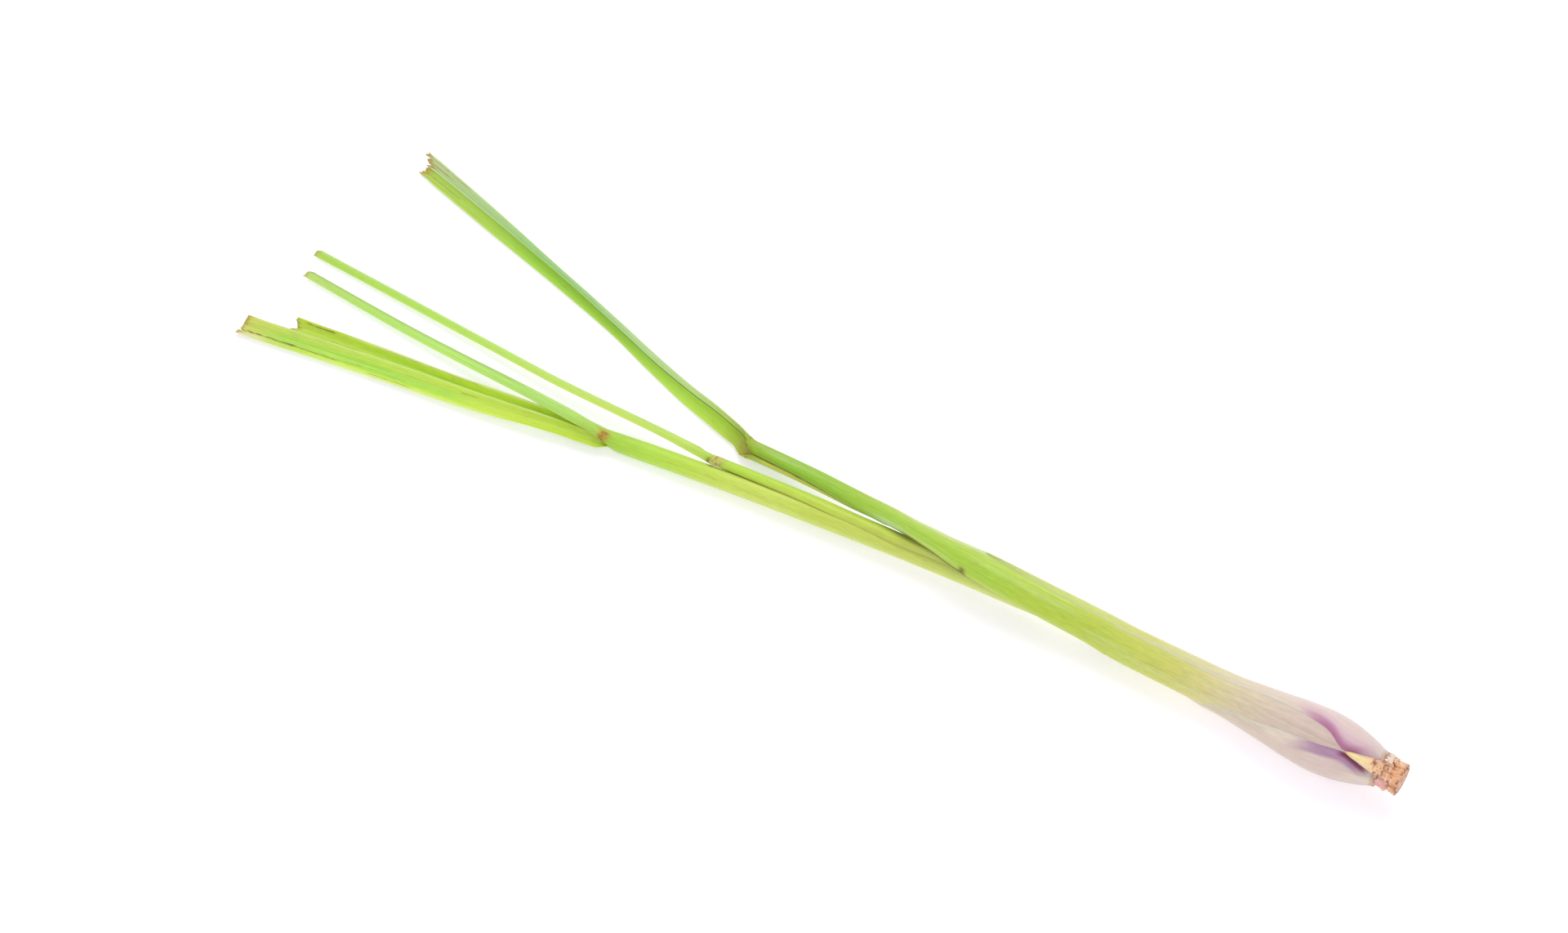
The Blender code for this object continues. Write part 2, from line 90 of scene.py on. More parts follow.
# Each leaf: its tube's sizes down to slit (half its gap, in degrees), then its blade's.
# Past its collar the tube becomes the blade, and past vein_turn its veins run along it.
LEAF_1 = SimpleNamespace(
    tip_x=-188.5,
    collar=(-29, -39),
    vein_turn=(-30, -42),
    radius=((-34, 3.0), (24, 3.1), (38, 3.8), (52, 5.0), (66, 5.45), (84, 5.5), (100, 5.5),
            (124, 5.65), (138, 5.7), (146, 6.3), (154, 7.1), (162, 8.0), (169.5, 8.4),
            (175.5, 8.0), (182.5, 6.6), (188, 4.8)),
    wall=((-34, 0.6), (60, 0.6), (124, 0.7), (150, 1.2), (170, 1.6), (186, 0.9)),
    tube_opening=((-34, 58), (-15, 74), (5, 100), (15, 122), (27, 138), (37, 155), (45, 164),
                  (60, 172), (80, 180), (150, 185)),
    midrib_y=((-190, 45.0), (-158, 37.7), (-118, 27.9), (-94, 21.0), (-78, 16.1), (-62, 12.0),
              (-48, 8.9), (-31, 4.6)),
    midrib_z=((-190, 0.5), (-90, 0.6), (-60, 1.5), (-48, 2.2), (-36, 2.2)),
    opening=((-190, 30), (-158, 36), (-118, 46), (-84, 46), (-56, 55), (-34, 58)),
    fold=((-190, 62), (-158, 56), (-118, 46), (-78, 52), (-34, 50)),
    curl=0.02,
    near=((-190, 4.4), (-158, 4.8), (-118, 4.2), (-94, 3.4), (-78, 3.8), (-60, 4.8), (-46, 5.3),
          (-37, 4.9), (-30, 3.2)),
    far=((-190, 4.8), (-158, 4.2), (-118, 3.9), (-78, 3.9), (-34, 3.9)))

LEAF_2 = SimpleNamespace(
    tip_x=-195.5,
    collar=(-34, -45),
    vein_turn=(-36, -47),
    radius=((-40, 2.2), (-14, 2.85), (0, 3.35), (14, 3.85), (27, 4.35), (40, 4.7), (55, 5.0),
            (68, 4.9), (76, 4.5), (84, 4.2), (124, 4.1), (140, 4.4), (154, 5.4), (169.5, 6.4),
            (178, 5.6), (183, 4.4)),
    wall=((-40, 0.6), (124, 0.65), (150, 1.1), (170, 1.5), (183, 0.9)),
    tube_opening=LIFT_ANGLE + 180,
    slit=((-44, 112), (-36, 60), (0, 60), (12, 98), (60, 95), (84, 8), (100, 5)),
    midrib_y=((-196, -6.0), (-158, -6.9), (-125, -8.1), (-92, -9.2), (-61, -9.1), (-44, -9.6)),
    midrib_z=((-196, 1.7), (-158, 2.3), (-125, 3.3), (-92, 4.6), (-61, 6.0), (-44, 7.0)),
    **keeled(((-196, 1.8), (-120, 1.75), (-60, 1.8), (-44, 2.1))))

LEAF_3 = SimpleNamespace(
    tip_x=-192.5,
    collar=(-72, -88),
    radius=((-74, 2.9), (-56, 3.1), (20, 3.1), (124, 3.1), (140, 3.3), (154, 3.9), (169.5, 4.5),
            (179, 3.9)),
    wall=((-74, 0.5), (124, 0.55), (150, 0.8), (170, 1.0), (179, 0.8)),
    tube_opening=((-76, 160), (-64, 170), (0, 170)),
    slit=((-78, 125), (-73, 108), (-66, 22), (-60, 8), (0, 5)),
    midrib_y=((-192, -15.0), (-150, -17.0), (-130, -17.6), (-102, -18.2), (-86, -18.9),
              (-74, -19.4)),
    midrib_z=((-192, 1.7), (-150, 2.7), (-130, 3.6), (-102, 5.1), (-86, 5.9), (-74, 6.2)),
    **keeled(((-192, 1.7), (-140, 2.0), (-86, 2.3), (-74, 2.5))))

LEAF_4 = SimpleNamespace(
    tip_x=-182.0,
    collar=(-70, -96),
    radius=((-74, 2.0), (-56, 2.2), (124, 2.4), (150, 2.6), (169.5, 3.1), (175, 3.0)),
    wall=((-74, 0.5), (124, 0.55), (150, 0.8), (175, 0.9)),
    tube_opening=60.0,
    slit=((-76, 85), (-60, 25), (-40, 6), (0, 5)),
    midrib_y=((-182, -34.3), (-156, -30.2), (-126, -26.2), (-106, -22.9), (-90, -20.6),
              (-70, -18.6)),
    midrib_z=((-182, 0.4), (-126, 0.5), (-96, 0.9), (-70, 1.6)),
    opening=((-182, 12), (-126, 14), (-96, 20), (-70, 45)),
    fold=((-182, 66), (-126, 66), (-96, 64), (-70, 70)),
    curl=CURL,
    near=((-182, 3.0), (-126, 3.2), (-96, 2.9), (-70, 3.2)),
    far=((-182, 3.0), (-126, 3.2), (-96, 3.0), (-70, 3.2)))

LEAF_5 = SimpleNamespace(
    tip_x=-195.8,
    collar=(-66, -74),
    radius=((-74, 1.3), (-56, 1.4), (140, 1.5), (171, 1.8)),
    wall=((-74, 0.5), (-56, 0.9), (171, 1.1)),
    tube_opening=30.0,
    slit=((-74, 60), (-56, 20), (0, 20)),
    midrib_y=((-196, -43.6), (-165, -37.6), (-141, -33.3), (-112, -28.6), (-92, -24.6),
              (-74, -21.4)),
    midrib_z=((-196, 0.4), (-141, 0.6), (-112, 1.3), (-92, 2.3), (-74, 2.9)),
    opening=((-196, 8), (-92, 8), (-74, 25)),
    fold=((-196, 74), (-141, 72), (-112, 68), (-92, 64), (-74, 66)),
    curl=CURL,
    near=((-196, 4.0), (-141, 4.0), (-112, 3.9), (-92, 3.8), (-84, 3.2), (-78, 3.0), (-74, 2.8)),
    far=((-196, 4.0), (-141, 4.0), (-112, 3.6), (-92, 2.8), (-74, 2.2)))

STEM_FOOT_X = 172.0
STEM_FACE_X = 195.2      # the middle of the rough cut face
STEM_END_X = 195.45      # beyond which nothing on that face stands out
STEM_PROFILE = ((STEM_FOOT_X, 0.0), (174.0, 1.2), (178.0, 2.0), (183.0, 2.9), (186.4, 3.3),
                (187.4, 4.3), (188.1, 4.8), (188.9, 4.6), (191.7, 4.85), (192.5, 4.6),
                (194.9, 4.75), (195.5, 4.4))

BUD_FOOT_X = 189.8
BUD_TIP_X = 178.2
BUD_HALF_WIDTH = ((BUD_TIP_X, 0.12), (180, 0.8), (183, 1.45), (186, 2.3), (188, 2.7),
                  (BUD_FOOT_X, 2.2))
BUD_PROUD = 0.35
BUD_WALL = 0.55

# Each scrap: (its middle and half its span in degrees, the place where it ends).
UPPER_SCRAP = (-30, 32, NECK_X + 2.6)
LOWER_SCRAP = (78, 16, NECK_X + 4.0)
SCRAP_START_X = NECK_X + 0.6
SCRAP_RADIUS = 5.7
SCRAP_SAG = 0.35         # how far its free end leans towards the neck
SCRAP_WALL = 0.28

FOLD_ROUNDING = 0.9      # how far from the midrib a blade's fold takes its full angle
BLADE_RAISE = 0.29       # what that rounding would otherwise lower the blades by
SHEATH_TRIM = 0.28       # what the sheath's rounder wall would otherwise stand out by
LEAN_REACH = 2.4         # how far from its edge a margin starts to lean inwards
RIM_BULGE = 0.35         # how far a margin's rim stands out, as a share of its thickness
ROOT_REACH = 3.0         # how far along X the raggedness of a leaf's first row fades

# ---- looks ------------------------------------------------------------------
NO_MARGIN = 99.0         # the distance given to points that a margin's marks don't reach
SAP_BLUE = 0.28          # the most that is taken out of a green's blue
SHARP_ANGLE = 50.0
WAX = 0.07
VEIN_RELIEF = 0.00004    # metres, as every size inside a material
FIBRE_RELIEF = 0.00012

FLOOR_GLOW = 0.42        # keeps the plain floor near white inside the soft shadows
ROOM_LIGHT = 0.68
KEY_POWER = 11.3
FILL_POWER = 6.4

CAMERA_AIM = (-0.021, 0.004, 0.0)
CAMERA_DISTANCE = 1.15
CAMERA_ELEVATION = 52.0
CAMERA_AZIMUTH = 33.2
LENS = 85.0
SENSOR_WIDTH = 36.0


# ---- numbers along and around -----------------------------------------------

def along(x, stops):
    """Values at x, one or many, of a smooth curve through the stops, without overshoot."""
    places, values = np.array(stops, float).T
    slopes = np.diff(values) / np.diff(places)
    before, after = slopes[:-1], slopes[1:]
    agree = before * after > 0
    inner = np.where(agree, 2 * before * after / np.where(agree, before + after, 1.0), 0.0)
    tangents = np.concatenate((slopes[:1], inner, slopes[-1:]))
    x = np.clip(np.asarray(x, float), places[0], places[-1])
    i = np.clip(np.searchsorted(places, x, side="right") - 1, 0, len(slopes) - 1)
    span = places[i + 1] - places[i]
    t = (x - places[i]) / span
    return (values[i] * (1 + 2 * t) * (1 - t) ** 2 + values[i + 1] * t * t * (3 - 2 * t)
            + span * (tangents[i] * t * (1 - t) ** 2 - tangents[i + 1] * t * t * (1 - t)))


def ramp(x, start, end):
    """0 at start and 1 at end, with a smooth rise between them."""
    t = np.clip((np.asarray(x, float) - start) / (end - start), 0.0, 1.0)
    return t * t * (3 - 2 * t)


def window(x, start, end, soft):
    """1 between start and end, fading to 0 over soft outside them."""
    return ramp(x, start - soft, start) * ramp(x, end + soft, end)


def bump(x, centre, reach):
    """1 at the centre, falling to nearly 0 at reach from it."""
    return np.exp(-2.5 * ((x - centre) / reach) ** 2)


def towards(angle):
    """The (y, z) direction at an angle around the stalk."""
    angle = np.radians(angle)
    return np.stack((-np.sin(angle), np.cos(angle)), axis=-1)


def bundle_axis(x):
    return np.stack((along(x, BUNDLE_Y), along(x, BUNDLE_Z)), axis=-1)


def peeled_axis(x):
    return bundle_axis(x) + np.stack((along(x, PEEL_Y), along(x, PEEL_Z)), axis=-1)


def size_at(x, size):
    """A size at every x, given as one number or as stops along X."""
    return along(x, size) if isinstance(size, tuple) else np.full_like(x, size)


def lattice(u, v, seed, period=64):
    """Smooth random values from 0 to 1, which change over about one unit of u and of v."""
    values = np.random.default_rng(seed).random((period, period))
    u, v = np.broadcast_arrays(np.asarray(u, float), np.asarray(v, float))
    iu, iv = np.floor(u).astype(int), np.floor(v).astype(int)
    fu, fv = u - iu, v - iv
    fu, fv = fu * fu * (3 - 2 * fu), fv * fv * (3 - 2 * fv)

    def corner(du, dv):
        return values[(iu + du) % period, (iv + dv) % period]

    near = corner(0, 0) * (1 - fu) + corner(1, 0) * fu
    far = corner(0, 1) * (1 - fu) + corner(1, 1) * fu
    return near * (1 - fv) + far * fv


def rows_between(start, *legs):
    """Places along X: from start, each leg runs to its end in steps of about its length."""
    places = [float(start)]
    for end, step in legs:
        count = max(1, round(abs(end - places[-1]) / step))
        places += list(np.linspace(places[-1], end, count + 1)[1:])
    return np.array(places)


def columns(half_count, crowding=0.6):
    """Places across a leaf from -1 to 1, closer together at the midrib and at the margins."""
    u = np.linspace(-1, 1, 2 * half_count + 1)
    return u - crowding * np.sin(2 * np.pi * u) / (2 * np.pi)


# ---- colours ----------------------------------------------------------------

def colour(code):
    """A linear colour from a screen colour such as "C8D070"."""
    screen = np.array([int(code[i:i + 2], 16) for i in (0, 2, 4)]) / 255
    return np.where(screen < 0.04045, screen / 12.92, ((screen + 0.055) / 1.055) ** 2.4)


def colours_along(x, *stops):
    """Colours at x from (place, screen colour) stops in rising order."""
    places = [place for place, _ in stops]
    table = np.array([colour(code) for _, code in stops])
    return np.stack([np.interp(x, places, table[:, k]) for k in range(3)], axis=-1)


def tinted(base, code, share):
    """The base colours with a share of another one mixed in."""
    share = np.clip(np.asarray(share), 0.0, 1.0)[..., None]
    return base * (1 - share) + colour(code) * share


def coated(base, coats):
    """The base colours with a share of each (screen colour, share) mixed in, in that order."""
    for code, share in coats:
        base = tinted(base, code, share)
    return base


def sappy(base, share):
    """Green colours with a share of their blue taken out."""
    return base * (1 - np.asarray(share)[..., None] * np.array((0.0, 0.0, SAP_BLUE)))


# ---- sections ---------------------------------------------------------------

def tube(axis, outside_radius, wall, opening, slit):
    """Rolled sections, whose margins stop slit degrees to each side of their opening."""
    radius = outside_radius - wall / 2
    arm = np.radians(180 - slit) * radius
    opening = opening + np.zeros_like(radius)
    return SimpleNamespace(midrib=axis - radius[:, None] * towards(opening), opening=opening,
                           fold=np.full_like(radius, 90.0), curl=1 / radius, near=arm, far=arm,
                           wall=wall + np.zeros_like(radius))


def blade(x, leaf):
    """A leaf's folded sections."""
    midrib = np.stack((along(x, leaf.midrib_y), along(x, leaf.midrib_z) + BLADE_RAISE), axis=-1)
    return SimpleNamespace(midrib=midrib, opening=size_at(x, leaf.opening),
                           fold=size_at(x, leaf.fold), curl=size_at(x, leaf.curl),
                           near=along(x, leaf.near), far=along(x, leaf.far),
                           wall=size_at(x, BLADE_THICKNESS))


def blend(first, second, share):
    """Sections between two others."""
    made = {}
    for key, value in vars(first).items():
        part = share[:, None] if value.ndim == 2 else share
        made[key] = value + (getattr(second, key) - value) * part
    return SimpleNamespace(**made)


def slit_round(radius, inner_radius, apart, least):
    """Half the slit, in degrees, that a sheath needs to let out a bundle beside its axis."""
    meets = (abs(radius - inner_radius) < apart) & (apart < radius + inner_radius)
    safe = np.where(meets, apart, radius)
    cosine = (safe ** 2 + radius ** 2 - inner_radius ** 2) / (2 * safe * radius)
    return np.where(meets, np.maximum(least, np.degrees(np.arccos(np.clip(cosine, -1, 1)))),
                    least)


def outer_radius(x):
    return along(x, LEAF_1.radius) + GAP + along(x, OUTER_WALL)


def outer_seam(x):
    """The middle of the gap between the outer sheath's margins, and half its width."""
    upper, lower = along(x, OUTER_UPPER_MARGIN), along(x, OUTER_LOWER_MARGIN)
    return (upper + lower) / 2, (lower - upper) / 2


def outer_sheath_sections(x):
    """The model's sheath, which thins out and closes on leaf 1 towards its torn end."""
    wall = (along(x, OUTER_WALL) - SHEATH_TRIM) * (0.3 + 0.7 * ramp(x, 54, 90))
    gap = GAP * (0.3 + 0.7 * ramp(x, 60, 100))
    return tube(peeled_axis(x), along(x, LEAF_1.radius) + gap + wall, wall, *outer_seam(x))


def leaf_sections(x, leaf, axis, slit):
    """A leaf's sections, rolled round an axis as far as its collar and folded past it."""
    rolled = tube(axis, along(x, leaf.radius), along(x, leaf.wall),
                  size_at(x, leaf.tube_opening), slit)
    return blend(rolled, blade(x, leaf), ramp(x, *leaf.collar))


def leaf_1_sections(x):
    half_wall = along(x, LEAF_1.wall) / 2
    slit = slit_round(along(x, LEAF_1.radius) - half_wall,
                      along(x, LEAF_2.radius) + SLIT_GAP + half_wall,
                      np.hypot(along(x, PEEL_Y), along(x, PEEL_Z)), LEAST_SLIT)
    return leaf_sections(x, LEAF_1, peeled_axis(x), slit)


def leaf_2_sections(x):
    half_wall, lift = along(x, LEAF_2.wall) / 2, along(x, LIFT)
    slit = slit_round(along(x, LEAF_2.radius) - half_wall,
                      along(x, LEAF_3.radius) + LIFT_GAP + half_wall, lift,
                      along(x, LEAF_2.slit))
    axis = bundle_axis(x) + lift[:, None] * towards(LIFT_ANGLE)
    return leaf_sections(x, LEAF_2, axis, slit)


def inner_leaf_sections(leaf):
    """The sections of a leaf which is rolled round the bundle's own axis."""
    return lambda x: leaf_sections(x, leaf, bundle_axis(x), along(x, leaf.slit))


def bud_sections(x):
    """A pointed scale over the seam of the outer sheath."""
    middle = outer_seam(x)[0]
    radius = outer_radius(x) + BUD_PROUD
    spread = np.degrees(along(x, BUD_HALF_WIDTH) / radius)
    return tube(peeled_axis(x), radius, BUD_WALL, middle + 180, 180 - spread)


def scrap_sections(middle, half_span, end_x):
    """The sections of a thin scrap of an old leaf base lying round the neck."""
    def sections(x):
        radius = SCRAP_RADIUS - SCRAP_SAG * ramp(x, SCRAP_START_X, end_x)
        return tube(peeled_axis(x), radius, SCRAP_WALL, middle + 180, 180 - half_span)
    return sections


def lay_out(section, across):
    """The sheet's middle surface: its points, the angles it faces and the arc from the midrib.

    across runs from the near margin (-1) over the midrib (0) to the far margin (1).
    """
    rows, count = len(section.near), len(across)
    centre = count // 2
    places = np.zeros((rows, count, 2))
    angles = np.zeros((rows, count))
    arc = np.zeros((rows, count))
    places[:, centre] = section.midrib
    angles[:, centre] = section.opening + 180
    for side, length, step in ((1, section.near, -1), (-1, section.far, 1)):
        def heading(distance):
            full = ramp(distance, 0, FOLD_ROUNDING)
            fold = 90 - (90 - section.fold) * full
            return section.opening + side * (fold - np.degrees(section.curl * distance))

        last = 0 if step < 0 else count - 1
        for column in range(centre + step, last + step, step):
            s = length * abs(across[column])
            before = length * abs(across[column - step])
            places[:, column] = (places[:, column - step]
                                 + (s - before)[:, None] * towards(heading((s + before) / 2)))
            angles[:, column] = heading(s) + (90 if side > 0 else 270)
            arc[:, column] = -side * s
    return places, angles, arc


# ---- meshes -----------------------------------------------------------------

def mesh_object(name, verts, faces, tint, dry, grain):
    """A smooth object with its colours, dryness and vein coordinates at its points."""
    a, b, c = (verts[faces[:, k]] for k in (0, 1, 2))
    d = verts[faces[:, 3]]
    volume = np.einsum("ij,ij->", a, np.cross(b, c)) + np.einsum("ij,ij->", a, np.cross(c, d))
    if volume < 0:
        faces = faces[:, ::-1]
    data = bpy.data.meshes.new(name)
    data.from_pydata((verts * MM).tolist(), [],
                     [list(dict.fromkeys(face)) for face in faces.tolist()])
    for layer, kind, field, values in (
            ("tint", "FLOAT_COLOR", "color", np.c_[np.clip(tint, 0, 1), np.ones(len(tint))]),
            ("dry", "FLOAT", "value", np.clip(dry, 0, 1)),
            ("grain", "FLOAT_VECTOR", "vector", grain)):
        data.attributes.new(layer, kind, "POINT").data.foreach_set(field, values.ravel())
    data.shade_smooth()
    data.set_sharp_from_angle(angle=math.radians(SHARP_ANGLE))
    item = bpy.data.objects.new(name, data)
    bpy.context.scene.collection.objects.link(item)
    return item


def ring_faces(index):
    """The faces between rings of points, whose numbers are the rows of a table."""
    after = np.roll(index, -1, axis=1)
    return np.stack((index[:-1], after[:-1], after[1:], index[1:]), axis=-1).reshape(-1, 4)


def end_faces(out, back, near_rim, far_rim):
    """The faces that close a leaf's end, between the points of its two surfaces."""
    strip = np.stack((out[1:], out[:-1], back[:-1], back[1:]), axis=-1)
    return np.concatenate((strip, [[out[0], near_rim, back[0], out[0]],
                                   [out[-1], back[-1], far_rim, out[-1]]]))


def claim(item, node, look):
    """Gives a visual piece its material, ties it to the model's body and hides the model's part of
    that name.
    """
    item.data.materials.append(look)
    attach(item, BODY)
    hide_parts(node)


def column_of(x, size):
    """A size down a table's rows: one number, or a function of the place along the stalk."""
    return (size(x) if callable(size) else np.full_like(x, size))[:, None]


def build_leaf(name, look, x, sections, across, paint, vein_count, seed,
               taper, thin_reach=1.6, hug=0.0, rib=0.0, rib_count=12, swell=None,
               vein_turn=None, vein_opening=0.0, tip_shift=None, tip_reach=6.0,
               root_shift=None):
    """One closed leaf, built from its outer and inner surface round each section.

    taper is the share of its thickness left at the margins, within thin_reach of them,
    hug how far they lean inwards, and rib the height of rib_count broad ribs on the
    outside. swell gives the height of further relief there from the places along and
    across and the angles around. tip_shift and root_shift give, for places across, how
    far the last and the first row stand off a straight cut. Veins run round the tube by
    the angle from vein_opening, and past vein_turn by the place across the blade.
    """
    section = sections(x)
    places, angles, arc = lay_out(section, across)
    rows, count = arc.shape
    length = np.where(across[None, :] < 0, section.near[:, None], section.far[:, None])
    edge = length * (1 - np.abs(across))[None, :]
    outward = towards(angles)
    wall = section.wall[:, None]
    taper = column_of(x, taper)
    thin = taper + (1 - taper) * ramp(edge, 0, thin_reach)
    lean = column_of(x, hug) * ramp(edge, LEAN_REACH, 0)
    relief = rib * np.cos(np.pi * rib_count * across)[None, :] * ramp(edge, 0.1, 0.8)
    relief = relief * (0.6 + 0.8 * lattice(x[:, None] / 25, across[None, :] * rib_count, seed))
    if swell:
        relief = relief + swell(x[:, None], across[None, :], angles)
    outside = places + outward * (wall * (thin - 0.5) - lean + relief)[..., None]
    inside = places - outward * (wall * 0.5 + lean)[..., None]

    shift = np.zeros((rows, count))
    if tip_shift is not None:
        shift = shift + ramp(abs(x - x[-1]), tip_reach, 0)[:, None] * tip_shift(across)[None, :]
    if root_shift is not None:
        shift = shift + ramp(abs(x - x[0]), ROOT_REACH, 0)[:, None] * root_shift(across)[None, :]
    stand = x[:, None] + shift
    rim = RIM_BULGE * wall[:, 0] * taper[:, 0]
    rims = []
    for column, way in ((-1, 1), (0, -1)):
        middle = (outside[:, column] + inside[:, column]) / 2
        rims.append(middle + way * rim[:, None] * towards(angles[:, column] + 90))

    def level(surface_x, surface):
        return np.concatenate((surface_x[..., None], surface), axis=-1)

    ring = np.concatenate((level(stand, outside), level(stand[:, -1:], rims[0][:, None]),
                           level(stand, inside)[:, ::-1], level(stand[:, :1], rims[1][:, None])),
                          axis=1)

    def around(values):
        return np.concatenate((values, values[:, -1:], values[:, ::-1], values[:, :1]), axis=1)

    full_x = np.broadcast_to(x[:, None], (rows, count))
    ones = np.ones((rows, count))
    surface = SimpleNamespace(
        x=around(full_x), across=around(np.broadcast_to(across[None, :], (rows, count))),
        edge=around(edge), arc=around(arc), angle=around(angles) % 360,
        tip=around(abs(full_x - x[-1])), root=around(abs(full_x - x[0])),
        outside=np.concatenate((ones, 0.5 * ones[:, :1], 0 * ones, 0.5 * ones[:, :1]), axis=1))
    tint, dry = paint(surface)

    index = np.arange(ring.shape[0] * ring.shape[1]).reshape(ring.shape[:2])
    caps = []
    for row, turn in ((index[0], 1), (index[-1], -1)):
        out, back = row[:count], row[count + 1:2 * count + 1][::-1]
        caps.append(end_faces(out, back, row[-1], row[count])[:, ::turn])
    faces = np.concatenate((ring_faces(index), *caps))

    bladed = np.zeros_like(x) if vein_turn is None else ramp(x, *vein_turn)
    turned = (angles - vein_opening - 180) / 360
    veins = turned + bladed[:, None] * (across[None, :] / 2 - turned)
    grain = np.stack((around(veins * vein_count), surface.x,
                      np.full_like(surface.x, float(seed))), axis=-1)
    item = mesh_object(name, ring.reshape(-1, 3), faces, tint.reshape(-1, 3), dry.reshape(-1),
                       grain.reshape(-1, 3))
    claim(item, name, look)


# ---- materials --------------------------------------------------------------

class Nodes:
    """A short way to write a material's node tree."""

    def __init__(self, name):
        self.material = bpy.data.materials.new(name)
        self.material.use_nodes = True
        self.tree = self.material.node_tree
        self.shader = self.tree.nodes["Principled BSDF"]

    def fill(self, node, inputs):
        """Gives a node's inputs their values, or links them to other nodes."""
        for key, value in inputs.items():
            if isinstance(value, bpy.types.NodeSocket):
                self.tree.links.new(value, node.inputs[key])
            else:
                node.inputs[key].default_value = value
        return node

    def add(self, kind, inputs, **settings):
        node = self.tree.nodes.new(kind)
        for key, value in settings.items():
            setattr(node, key, value)
        return self.fill(node, inputs)

    def shade(self, inputs):
        self.fill(self.shader, inputs)

    def attribute(self, name, output):
        return self.add("ShaderNodeAttribute", {}, attribute_name=name).outputs[output]

    def place(self):
        return self.add("ShaderNodeTexCoord", {}).outputs["Object"]

    def stretched(self, vector, scale, offset=(0, 0, 0)):
        return self.add("ShaderNodeMapping", {"Vector": vector, "Scale": scale,
                                              "Location": offset}).outputs["Vector"]

    def noise(self, vector, detail, scale=1.0, roughness=0.55):
        return self.add("ShaderNodeTexNoise", {"Vector": vector, "Scale": scale,
                                               "Detail": detail,
                                               "Roughness": roughness}).outputs["Fac"]

    def fit(self, value, low, high, to_low, to_high):
        return self.add("ShaderNodeMapRange", {"Value": value, "From Min": low,
                                               "From Max": high, "To Min": to_low,
                                               "To Max": to_high}).outputs["Result"]

    def math(self, operation, first, second):
        return self.add("ShaderNodeMath", {0: first, 1: second},
                        operation=operation).outputs["Value"]

    def raised(self, height, distance):
        return self.add("ShaderNodeBump", {"Height": height, "Strength": 1.0,
                                           "Distance": distance}).outputs["Normal"]

    def mottled(self, base, noise, depth, low=0.3, high=0.7):
        """The base colour, darkened and lightened by up to depth as the noise goes."""
        level = self.fit(noise, low, high, 1 - depth, 1 + depth)
        grey = self.add("ShaderNodeCombineColor", {0: level, 1: level, 2: level})
        mixer = self.add("ShaderNodeMix", {"Factor": 1.0, 6: base, 7: grey.outputs[0]},
                         data_type="RGBA", blend_type="MULTIPLY")
        return mixer.outputs[2]


def tissue(name, vein_depth, blotch, roughness, soft=0.25):
    """Fresh leaf tissue: its painted colour with lengthwise veins, blotches and a waxy skin."""
    nodes = Nodes(name)
    grain = nodes.attribute("grain", "Vector")
    veins = nodes.noise(nodes.stretched(grain, (1.3, 0.012, 1)), detail=4.0, roughness=0.7)
    broad = nodes.noise(nodes.stretched(grain, (0.35, 0.02, 1), (7, 3, 0)), detail=2.0)
    blotches = nodes.noise(nodes.stretched(grain, (0.4, 0.22, 1), (3, 9, 0)), detail=3.0)
    pores = nodes.noise(nodes.place(), detail=2.0, scale=5200)
    shaded = nodes.attribute("tint", "Color")
    for noise, depth in ((veins, vein_depth), (broad, vein_depth / 2), (blotches, blotch)):
        shaded = nodes.mottled(shaded, noise, depth)
    rough = nodes.fit(blotches, 0.3, 0.7, roughness - 0.06, roughness + 0.08)
    rougher = nodes.math("MULTIPLY", nodes.attribute("dry", "Fac"), 0.35)
    height = nodes.math("ADD", veins, nodes.math("MULTIPLY", pores, 0.18))
    nodes.shade({
        "Base Color": shaded, "Roughness": nodes.math("ADD", rough, rougher),
        "Normal": nodes.raised(height, VEIN_RELIEF), "Specular IOR Level": 0.35,
        "Subsurface Weight": soft, "Subsurface Radius": (1.0, 1.0, 0.45),
        "Subsurface Scale": 0.0012, "Coat Weight": WAX, "Coat Roughness": 0.3})
    return nodes.material


def fibrous(name, roughness=0.7, depth=0.16):
    """Cut, woody or papery plant matter: painted colour, coarse fibres and pits."""
    nodes = Nodes(name)
    grain = nodes.attribute("grain", "Vector")
    fibres = nodes.noise(nodes.stretched(grain, (1.0, 0.35, 1)), detail=5.0, roughness=0.7)
    pits = nodes.noise(nodes.place(), detail=4.0, scale=1500, roughness=0.65)
    shaded = nodes.mottled(nodes.attribute("tint", "Color"), fibres, depth)
    nodes.shade({
        "Base Color": nodes.mottled(shaded, pits, depth, 0.25, 0.75),
        "Roughness": nodes.fit(pits, 0.3, 0.7, roughness - 0.12, roughness + 0.12),
        "Normal": nodes.raised(nodes.math("ADD", fibres, pits), FIBRE_RELIEF),
        "Subsurface Weight": 0.15, "Subsurface Radius": (1.0, 0.6, 0.35),
        "Subsurface Scale": 0.0008})
    return nodes.material


# ---- the leaves -------------------------------------------------------------

def ragged(across, seed, height, teeth):
    """A torn or cut line's teeth."""
    return height * (lattice(across * teeth, 0.5, seed) - 0.5
                     + 0.4 * (lattice(across * teeth * 3.1, 2.5, seed + 1) - 0.5))


def brown_ends(tint, dry, s, reach, seed, code, strength):
    """Browns a cut tip, further in along some veins than along others."""
    depth = reach * (0.25 + 1.5 * lattice(s.across * 14, s.x * 0.05, seed) ** 2)
    share = ramp(s.tip, depth, depth * 0.2)
    return tinted(tint, code, strength * share), np.maximum(dry, share)


